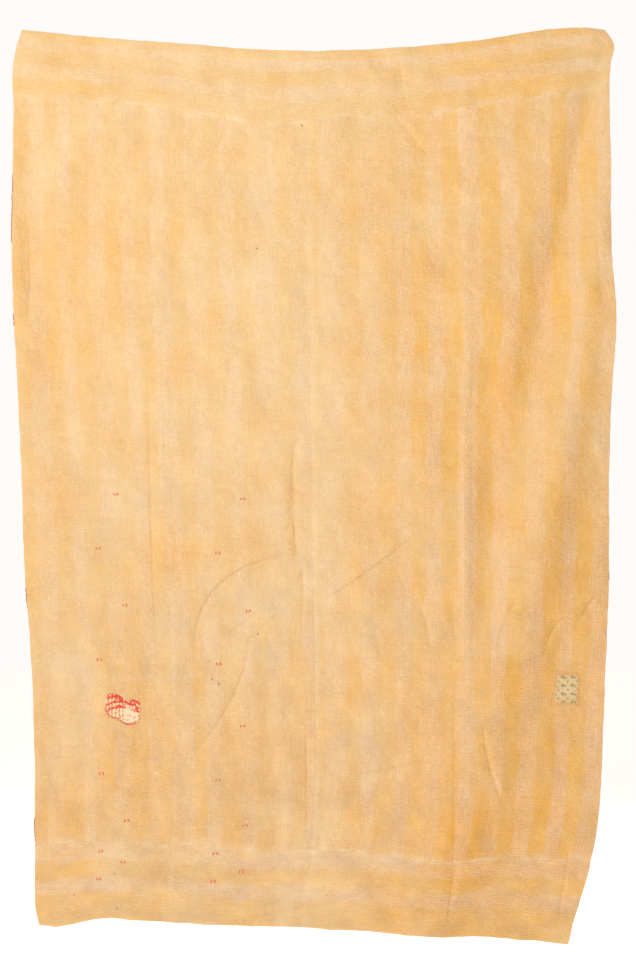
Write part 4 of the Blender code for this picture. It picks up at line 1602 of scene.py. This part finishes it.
# The strokes of a mark: right of its middle, below it, length, width, degrees from
# upright, and which thread it is worked in.
Stroke = namedtuple("Stroke", "right down length width lean thread")
STROKES = {
    "red": [
        Stroke(0.0002, 0.0002, 0.0085, 0.0060, 84.0, salmon_thread),
        Stroke(-0.0044, 0.0004, 0.0068, 0.0026, 8.0, red_thread),
        Stroke(0.0046, -0.0002, 0.0078, 0.0028, 14.0, red_thread),
    ],
    "yellow": [
        Stroke(0.0002, 0.0002, 0.0080, 0.0030, 84.0, yellow_thread),
        Stroke(-0.0034, 0.0004, 0.0068, 0.0030, 12.0, yellow_thread),
        Stroke(0.0036, -0.0002, 0.0070, 0.0030, 20.0, yellow_thread),
    ],
    "dark": [Stroke(0.0, 0.0, 0.0062, 0.0036, 14.0, dark_thread)],
}


# %% Work the marks
# No two marks lean alike: this is the spread of their angles, in radians.
MARK_LEAN_SPREAD = 0.3
# The length of a stroke's guide, which only gives its place and its direction.
MARK_GUIDE = 0.001
# Where across the quilt the seam is read that parts the marks of the two panels.
MARKS_ACROSS = 0.3
MARK_SIZES = {"Seed": 91, "Height": 0.0012, "Slip": 0.0003, "Sides": 8, "Rings": 6}


def work_marks(panel, colour, number):
    """All strokes of one number in the marks of one colour on a panel."""
    stroke = STROKES[colour][number]
    seam = read_table(LEVELS, "bottom_seam", MARKS_ACROSS)
    low = panel == BOTTOM_BAND
    rows = [mark for mark in MARKS if mark.colour == colour and (mark.drop > seam) == low]
    x = np.array([[mark.x + stroke.right] for mark in rows])
    drop = np.array([[mark.drop + stroke.down] for mark in rows])
    draw = np.random.default_rng(81 + number)
    turn = draw.normal(math.radians(stroke.lean), MARK_LEAN_SPREAD, (len(rows), 1))
    step = np.array([0.0, MARK_GUIDE])
    across, share = find_on(panel, x + step * np.sin(turn), drop + step * np.cos(turn))
    guide = guide_on(layouts[panel.name], across, share)
    sizes = {"Thread": stroke.thread, "Length": stroke.length, "Width": stroke.width, **MARK_SIZES}
    name = "_".join([panel.node, colour, "marks", "abc"[number]])
    return grow(name, running_stitch, guide, sizes)


# The bottom band has no yellow marks.
MARKED = [(MAIN_PANEL, ("red", "yellow", "dark")), (BOTTOM_BAND, ("red", "dark"))]
for panel, colours in MARKED:
    for colour in colours:
        for number in range(len(STROKES[colour])):
            sewn[panel.name].append(work_marks(panel, colour, number))
print(sum(len(pieces) for pieces in sewn.values()), "pieces of sewing")

# %% [markdown]
# ## Two mends
# Two holes are covered with scraps of printed cotton, hemmed down by hand. A
# mend is a sheet like the panels: a small grid laid on the wide panel's front,
# a hair above it, with its rim pressed down where the stitches hold it. The
# grid's rings follow the outline, and each point keeps its place on the scrap
# and how near the rim it is, for the print.

# %% Tables of the mends
MEND_STEPS = 56
MEND_THICKNESS = 0.0009
MEND_LIFT = 0.0003
# The share of its thickness that a mend loses at its rim, and the two powers of the
# way to the rim that say how suddenly it thins and stops crumpling.
MEND_PRESSED = 0.7
MEND_RIM_POWER = 12
MEND_CRUMPLE_POWER = 6
# Its crumple, and the place on the noise that a mend's middle has.
MEND_CRUMPLE = Noise(0.0004, 0.009, 0.012, 45)
MEND_ON_NOISE = 40
# The outline of the red mend: degrees round from +X, and metres from its middle.
Reach = namedtuple("Reach", "turn reach")
RED_MIDDLE = (-0.4525, 1.590)
RED_OUTLINE = [
    Reach(-20, 0.041), Reach(4, 0.039), Reach(28, 0.041), Reach(39, 0.035), Reach(55, 0.022),
    Reach(100, 0.029), Reach(135, 0.050), Reach(160, 0.043), Reach(183, 0.043), Reach(202, 0.039),
    Reach(239, 0.028), Reach(287, 0.041), Reach(309, 0.046), Reach(340, 0.041),
]
# The corners of the sage mend from its middle: right and up.
SAGE_MIDDLE = (0.6205, 1.545)
SAGE_CORNERS = {"upper": ((-0.026, 0.036), (0.030, 0.034)), "lower": ((-0.033, -0.032), (0.028, -0.039))}


# %% Lay out a mend
def red_places(a, b):
    """A square of shares from -1 to 1, drawn out to the red mend's outline."""
    ring = np.maximum(np.abs(a), np.abs(b))
    turn = np.degrees(np.arctan2(b, a))
    first = RED_OUTLINE[0].turn
    reach = read_table(RED_OUTLINE, "reach", (turn - first) % 360 + first)
    return ring * reach * np.cos(np.radians(turn)), ring * reach * np.sin(np.radians(turn))


def sage_places(a, b):
    """A square of shares from -1 to 1, drawn out to the sage mend's four corners."""
    right = (a + 1) / 2
    upper = [between(*axis, right) for axis in zip(*SAGE_CORNERS["upper"])]
    lower = [between(*axis, right) for axis in zip(*SAGE_CORNERS["lower"])]
    return [between(low, high, (b + 1) / 2) for low, high in zip(lower, upper)]


def lay_mend(middle, places):
    """The arrays of a mend, found on the front of the wide panel."""
    layout = layouts[MAIN_PANEL.name]
    b, a = np.meshgrid(np.linspace(1, -1, MEND_STEPS + 1), np.linspace(-1, 1, MEND_STEPS + 1), indexing="ij")
    right, up = places(a, b)
    across, share = find_on(MAIN_PANEL, middle[0] + right, middle[1] - up)
    kept = ("front", "normal", "row", "stripe")
    on_cloth = {name: read_layout(layout[name], across, share) for name in kept}
    ring = np.maximum(np.abs(a), np.abs(b))
    noise_x = right + MEND_ON_NOISE * MEND_CRUMPLE.across_size
    noise_y = up + MEND_ON_NOISE * MEND_CRUMPLE.down_size
    crumple = noise_sum([MEND_CRUMPLE], noise_x, noise_y)
    top = MEND_LIFT + MEND_THICKNESS * (1 - MEND_PRESSED * ring**MEND_RIM_POWER)
    top += crumple * (1 - ring**MEND_CRUMPLE_POWER)
    return {
        **on_cloth,
        "front": on_cloth["front"] + on_cloth["normal"] * top[..., None],
        "back": on_cloth["front"] - on_cloth["normal"] * MEND_LIFT,
        "flat": np.stack([right, up, ring], -1),
        "crease": np.zeros_like(on_cloth["front"]),
        "strength": np.ones_like(ring),
        "dye_and_shade": np.zeros_like(ring),
        "worn_and_lit": np.zeros_like(ring),
    }


MEND_SHAPES = {"red_mend": (RED_MIDDLE, red_places), "sage_mend": (SAGE_MIDDLE, sage_places)}
mends = {}
for name, shape in MEND_SHAPES.items():
    layouts[name] = lay_mend(*shape)
    mends[name] = place_piece(name, sheet_mesh(name, layouts[name], BACK_STEP))
    print(name, len(mends[name].data.polygons), "faces")

# %% [markdown]
# ## Prints of the mends
# Both prints are built from the place on the scrap, in millimetres. The red
# one has broad brushed arcs, a net of fine lines in one corner and dots in
# another. The sage one repeats a small five-petalled flower with a leaf, in
# cells 24 by 20 mm, over fine specks, with a faint tan spot between the
# flowers. A motif is a distance or a wave, and the ink has an edge where its
# value runs between two limits. The limits can stand either way round.

# %% Inks of a print
def print_place(tree):
    """The place on a scrap in millimetres, and its share of the way to the rim."""
    flat = add(tree, "ShaderNodeAttribute", attribute_name="flat", give="Vector")
    ring = add(tree, "ShaderNodeSeparateXYZ", {"Vector": flat}, give="Z")
    return add(tree, "ShaderNodeVectorMath", {0: flat, 1: (1000.0, 1000.0, 0.0)}, operation="MULTIPLY"), ring


def inked_where(tree, limits):
    """1 where every value is past its second limit, and 0 where one is short of its first."""
    share = 1.0
    for value, low, high in limits:
        past = add(tree, "ShaderNodeMapRange", {"Value": value, "From Min": low, "From Max": high})
        share = add(tree, "ShaderNodeMath", {0: share, 1: past}, operation="MULTIPLY")
    return share


def print_over(tree, ground, inks):
    """Prints inks over a ground in turn, each where its value runs between two limits."""
    colour = linear(ground)
    for value, low, high, code in inks:
        share = add(tree, "ShaderNodeMapRange", {"Value": value, "From Min": low, "From Max": high})
        mix = {"Factor": share, "A": colour, "B": linear(code)}
        colour = add(tree, "ShaderNodeMix", mix, data_type="RGBA")
    return colour


# %% Red print
# Sizes in millimetres: the arcs' and bars' spacing, and the point that the arcs go round.
ARC_SPACING = 13.0
ARC_MIDDLE = (-8.0, -34.0, 0.0)
BAR_SPACING = 8.5
BRUSH_WANDER = (7.0, 7.0, 0.0)
# How steep the borders are between the arcs, the net and the rim, and the rest.
BORDER_SLOPES = (-0.35, 0.6, 0.5)


def red_print():
    # Off-white ground under a bold tomato red, brushed on unevenly.
    material, tree, shader = new_material("Red printed cotton", 0.85, sheen=0.10)
    place, ring = print_place(tree)
    wobble = add(tree, "ShaderNodeTexNoise", {"Vector": place, "Scale": 0.16, "Detail": 3.0}, give="Color")
    wobble = {0: wobble, 1: BRUSH_WANDER, 2: place}
    wobble = add(tree, "ShaderNodeVectorMath", wobble, operation="MULTIPLY_ADD")
    brush = add(tree, "ShaderNodeTexNoise", {"Vector": wobble, "Scale": 0.35, "Detail": 2.0})
    x, y = (add(tree, "ShaderNodeSeparateXYZ", {"Vector": place}, give=axis) for axis in "XY")
    arc_side, net_side, rim_side = (
        add(tree, "ShaderNodeMath", {0: x, 1: slope, 2: y}, operation="MULTIPLY_ADD")
        for slope in BORDER_SLOPES
    )
    # Arcs are rings about a point below and left of the scrap, and bars are upright waves.
    from_middle = {0: wobble, 1: ARC_MIDDLE}
    from_middle = add(tree, "ShaderNodeVectorMath", from_middle, operation="DISTANCE", give="Value")
    sideways = add(tree, "ShaderNodeSeparateXYZ", {"Vector": wobble}, give="X")
    waves = []
    for value, spacing in ((from_middle, ARC_SPACING), (sideways, BAR_SPACING)):
        turn = add(tree, "ShaderNodeMath", {0: value, 1: math.tau / spacing}, operation="MULTIPLY")
        waves.append(add(tree, "ShaderNodeMath", {0: turn}, operation="SINE"))
    net = add(tree, "ShaderNodeTexVoronoi", {"Vector": wobble, "Scale": 0.13}, feature="DISTANCE_TO_EDGE")
    dots = add(tree, "ShaderNodeTexVoronoi", {"Vector": place, "Scale": 0.12}, give="Distance")
    arcs = inked_where(tree, [(waves[0], 0.05, 0.30), (arc_side, -4.0, 2.0), (brush, 0.36, 0.46)])
    net = inked_where(tree, [(net, 0.15, 0.08), (net_side, 6.0, 11.0)])
    rim = inked_where(tree, [(ring, 0.86, 0.93), (rim_side, -12.0, -18.0), (brush, 0.38, 0.46)])
    # Short bars hang below the arcs at the left, and single dots lie at the right.
    bars = inked_where(tree, [(waves[1], 0.2, 0.6), (x, 4.0, -2.0), (brush, 0.44, 0.52)])
    dots = inked_where(tree, [(dots, 0.30, 0.20)])
    dots = add(tree, "ShaderNodeMath", {0: dots, 1: 0.8}, operation="MULTIPLY")
    small = add(tree, "ShaderNodeMath", {0: dots, 1: bars}, operation="MAXIMUM")
    bold = add(tree, "ShaderNodeMath", {0: arcs, 1: net}, operation="MAXIMUM")
    bold = add(tree, "ShaderNodeMath", {0: bold, 1: rim}, operation="MAXIMUM")
    colour = print_over(tree, "#F1D3A0", [
        (brush, 0.35, 0.65, "#F4E2C4"),
        (small, 0.0, 1.0, "#D0653F"),
        (bold, 0.0, 1.0, "#E04A2E"),
    ])
    finish_material(tree, shader, colour, quilting_height(tree))
    return material


# %% Sage print
FLOWER_CELL_MM = (24.0, 20.4)
# The rest is in shares of a cell: the wander of the print, how far its flowers and
# its spots are moved, a flower's mean reach and its petals' depth, and its leaf.
PRINT_WANDER = (0.28, 0.28, 0.0)
FLOWER_SHIFT = (9.777, 8.951, 0.0)
SPOT_SHIFT = (9.277, 8.451, 0.0)
FLOWER_REACH = 0.21
PETAL_DEPTH = 0.06
PETALS = 5.0
LEAF_PLACE = (0.30, -0.10, 0.0)


def sage_print():
    # Soft olive on beige, both a little faded, inside a band of gold stitching.
    material, tree, shader = new_material("Sage printed cotton", 0.85, sheen=0.10)
    place, ring = print_place(tree)
    per_mm = (1 / FLOWER_CELL_MM[0], 1 / FLOWER_CELL_MM[1], 0.0)
    cells = add(tree, "ShaderNodeVectorMath", {0: place, 1: per_mm}, operation="MULTIPLY")
    wobble = add(tree, "ShaderNodeTexNoise", {"Vector": place, "Scale": 0.2, "Detail": 2.0}, give="Color")
    cells = {0: wobble, 1: PRINT_WANDER, 2: cells}
    cells = add(tree, "ShaderNodeVectorMath", cells, operation="MULTIPLY_ADD")
    from_middles = []
    for shift in (FLOWER_SHIFT, SPOT_SHIFT):
        moved = add(tree, "ShaderNodeVectorMath", {0: cells, 1: shift}, operation="ADD")
        moved = add(tree, "ShaderNodeVectorMath", {0: moved}, operation="FRACTION")
        here = add(tree, "ShaderNodeVectorMath", {0: moved, 1: (0.5, 0.5, 0.0)}, operation="SUBTRACT")
        away = add(tree, "ShaderNodeVectorMath", {0: here}, operation="LENGTH", give="Value")
        from_middles.append((here, away))
    (in_flower, from_flower), (_, from_spot) = from_middles
    x, y = (add(tree, "ShaderNodeSeparateXYZ", {"Vector": in_flower}, give=axis) for axis in "XY")
    turn = add(tree, "ShaderNodeMath", {0: y, 1: x}, operation="ARCTAN2")
    petals = add(tree, "ShaderNodeMath", {0: turn, 1: PETALS}, operation="MULTIPLY")
    petals = add(tree, "ShaderNodeMath", {0: petals}, operation="COSINE")
    reach = {0: petals, 1: PETAL_DEPTH, 2: FLOWER_REACH}
    reach = add(tree, "ShaderNodeMath", reach, operation="MULTIPLY_ADD")
    inside = add(tree, "ShaderNodeMath", {0: reach, 1: from_flower}, operation="SUBTRACT")
    from_leaf = {0: in_flower, 1: LEAF_PLACE}
    from_leaf = add(tree, "ShaderNodeVectorMath", from_leaf, operation="DISTANCE", give="Value")
    specks = add(tree, "ShaderNodeTexVoronoi", {"Vector": place, "Scale": 0.17}, give="Distance")
    # From the ground up: a warmer rim, specks, tan spots, petals, hearts, leaves and gold stitching.
    colour = print_over(tree, "#E2C79A", [
        (ring, 0.2, 1.0, "#DDBE8C"),
        (specks, 0.34, 0.16, "#B79F6E"),
        (from_spot, 0.20, 0.08, "#CF9E6C"),
        (inside, 0.0, 0.07, "#988859"),
        (from_flower, 0.07, 0.04, "#C9B27C"),
        (from_leaf, 0.11, 0.05, "#857A4E"),
        (ring, 0.95, 0.985, "#E2AB62"),
    ])
    finish_material(tree, shader, colour, quilting_height(tree))
    return material


mends["red_mend"].data.materials.append(red_print())
mends["sage_mend"].data.materials.append(sage_print())
for mend in mends.values():
    mend.data.materials.append(back_cotton)
    print(mend.name, "has", [material.name for material in mend.data.materials])

# %% [markdown]
# ## Hemming the mends
# A mend is held by stitches sewn over its turned rim. The red one is caught
# down round its lower half in red thread, and the sage one in gold thread, in
# two rounds. The stitch tree serves again, and its guide is the mend's own
# outline, drawn a little larger.

# %% Hem the mends down
# How far out the stitches go, as a share of the mend's own reach, and their width.
HemRound = namedtuple("HemRound", "mend name reach width whole")
HEM_ROUNDS = [
    HemRound("red_mend", "hem", 1.05, 0.0016, False),
    HemRound("sage_mend", "inner", 1.05, 0.0019, True),
    HemRound("sage_mend", "outer", 1.15, 0.0019, True),
]
HEM_THREADS = {"red_mend": red_thread, "sage_mend": gold_thread}
HEM_STITCHES = {"Seed": 97, "Pitch": 0.0052, "Length": 0.0046}
POINTS_PER_ROUND = 161


def hem_mend(hem):
    """Stitches round a mend, or round its lower half, on the cloth beside it."""
    middle, places = MEND_SHAPES[hem.mend]
    turn = np.linspace(0 if hem.whole else math.pi, math.tau, POINTS_PER_ROUND)
    square = hem.reach / np.maximum(np.abs(np.cos(turn)), np.abs(np.sin(turn)))
    right, up = places(square * np.cos(turn), square * np.sin(turn))
    across, share = find_on(MAIN_PANEL, middle[0] + right, middle[1] - up)
    guide = guide_on(layouts[MAIN_PANEL.name], across[None], share[None])
    sizes = {"Thread": HEM_THREADS[hem.mend], "Width": hem.width, **HEM_STITCHES}
    return grow(hem.mend + "_stitches_" + hem.name, running_stitch, guide, sizes)


mend_sewing = {name: [hem_mend(hem) for hem in HEM_ROUNDS if hem.mend == name] for name in mends}
for pieces in mend_sewing.values():
    for piece in pieces:
        print(piece.name, len(piece.data.polygons), "faces")

# %% [markdown]
# ## Light
# Soft studio light: a white world all round, and one large lamp at the upper
# left that is only a little stronger, so that the folds read but the cloth
# has no hard shadows. A second lamp behind does the same for the back. The
# camera sees the world as a warm white, and the light that the world gives is
# set apart from it. The floor glows a little, so that it stays as pale.

# %% Lamps
Lamp = namedtuple("Lamp", "name place aim power")
LAMPS = [
    Lamp("key_light", (-2.3, -4.3, 1.2), (-0.1, 0.0, -0.35), 45.5),
    Lamp("back_light", (2.3, 4.3, 1.0), (0.0, 0.0, -0.80), 38.0),
]
LAMP_SIZE = 2.2
LAMP_SPREAD = 95.0

for lamp in LAMPS:
    light = bpy.data.objects.new(lamp.name, bpy.data.lights.new(lamp.name, "AREA"))
    light.data.shape = "SQUARE"
    light.data.size = LAMP_SIZE
    light.data.energy = lamp.power
    light.data.spread = math.radians(LAMP_SPREAD)
    light.location = lamp.place
    light.rotation_euler = (Vector(lamp.aim) - Vector(lamp.place)).to_track_quat("-Z", "Y").to_euler()
    bpy.context.scene.collection.objects.link(light)
    print(lamp.name, "gives", lamp.power, "W")

# %% World
WORLD_LIGHT = 0.46
STUDIO_WHITE = "#FFFBF8"

world = bpy.data.worlds.new("Soft white studio")
world.use_nodes = True
bpy.context.scene.world = world
sky = world.node_tree
sky.nodes.clear()
seen = add(sky, "ShaderNodeLightPath", give="Is Camera Ray")
strength = add(sky, "ShaderNodeMapRange", {"Value": seen, "To Min": WORLD_LIGHT, "To Max": 1.0})
glow = add(sky, "ShaderNodeBackground", {"Color": linear(STUDIO_WHITE), "Strength": strength})
add(sky, "ShaderNodeOutputWorld", {"Surface": glow})
bpy.context.scene.view_settings.view_transform = "Standard"

# %% Floor
FLOOR_DROP = 2.46
FLOOR_REACH = 9.0
FLOOR_GLOW = 0.60

floor_corners = [(-1, -1), (1, -1), (1, 1), (-1, 1)]
floor_points = [(FLOOR_REACH * x, FLOOR_REACH * y, -FLOOR_DROP) for x, y in floor_corners]
floor = place_piece("studio_floor", mesh_of("studio_floor", floor_points, [np.array([[0, 1, 2, 3]])]))
# Matt emulsion, off-white and without any shine.
floor_paint, _, shader = new_material("Matt white floor paint", 0.9)
shader.inputs["Base Color"].default_value = linear("#F4F0EC")
shader.inputs["Emission Color"].default_value = linear(STUDIO_WHITE)
shader.inputs["Emission Strength"].default_value = FLOOR_GLOW
floor.data.materials.append(floor_paint)

# %% [markdown]
# ## What each piece stands for
# The library keeps the plain solids and the dressed pieces side by side. Each
# cloth replaces its solid, and every piece rides on the one body.

for panel in PANELS:
    cloth = cloths[panel.name]
    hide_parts(panel.node)
    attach(cloth, "root")
    for piece in sewn[panel.name]:
        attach(piece, "root")

MEND_NODES = {"red_mend": "red_print_patch", "sage_mend": "sage_print_patch"}
for name, mend in mends.items():
    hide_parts(MEND_NODES[name])
    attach(mend, "root")
    for piece in mend_sewing[name]:
        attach(piece, "root")
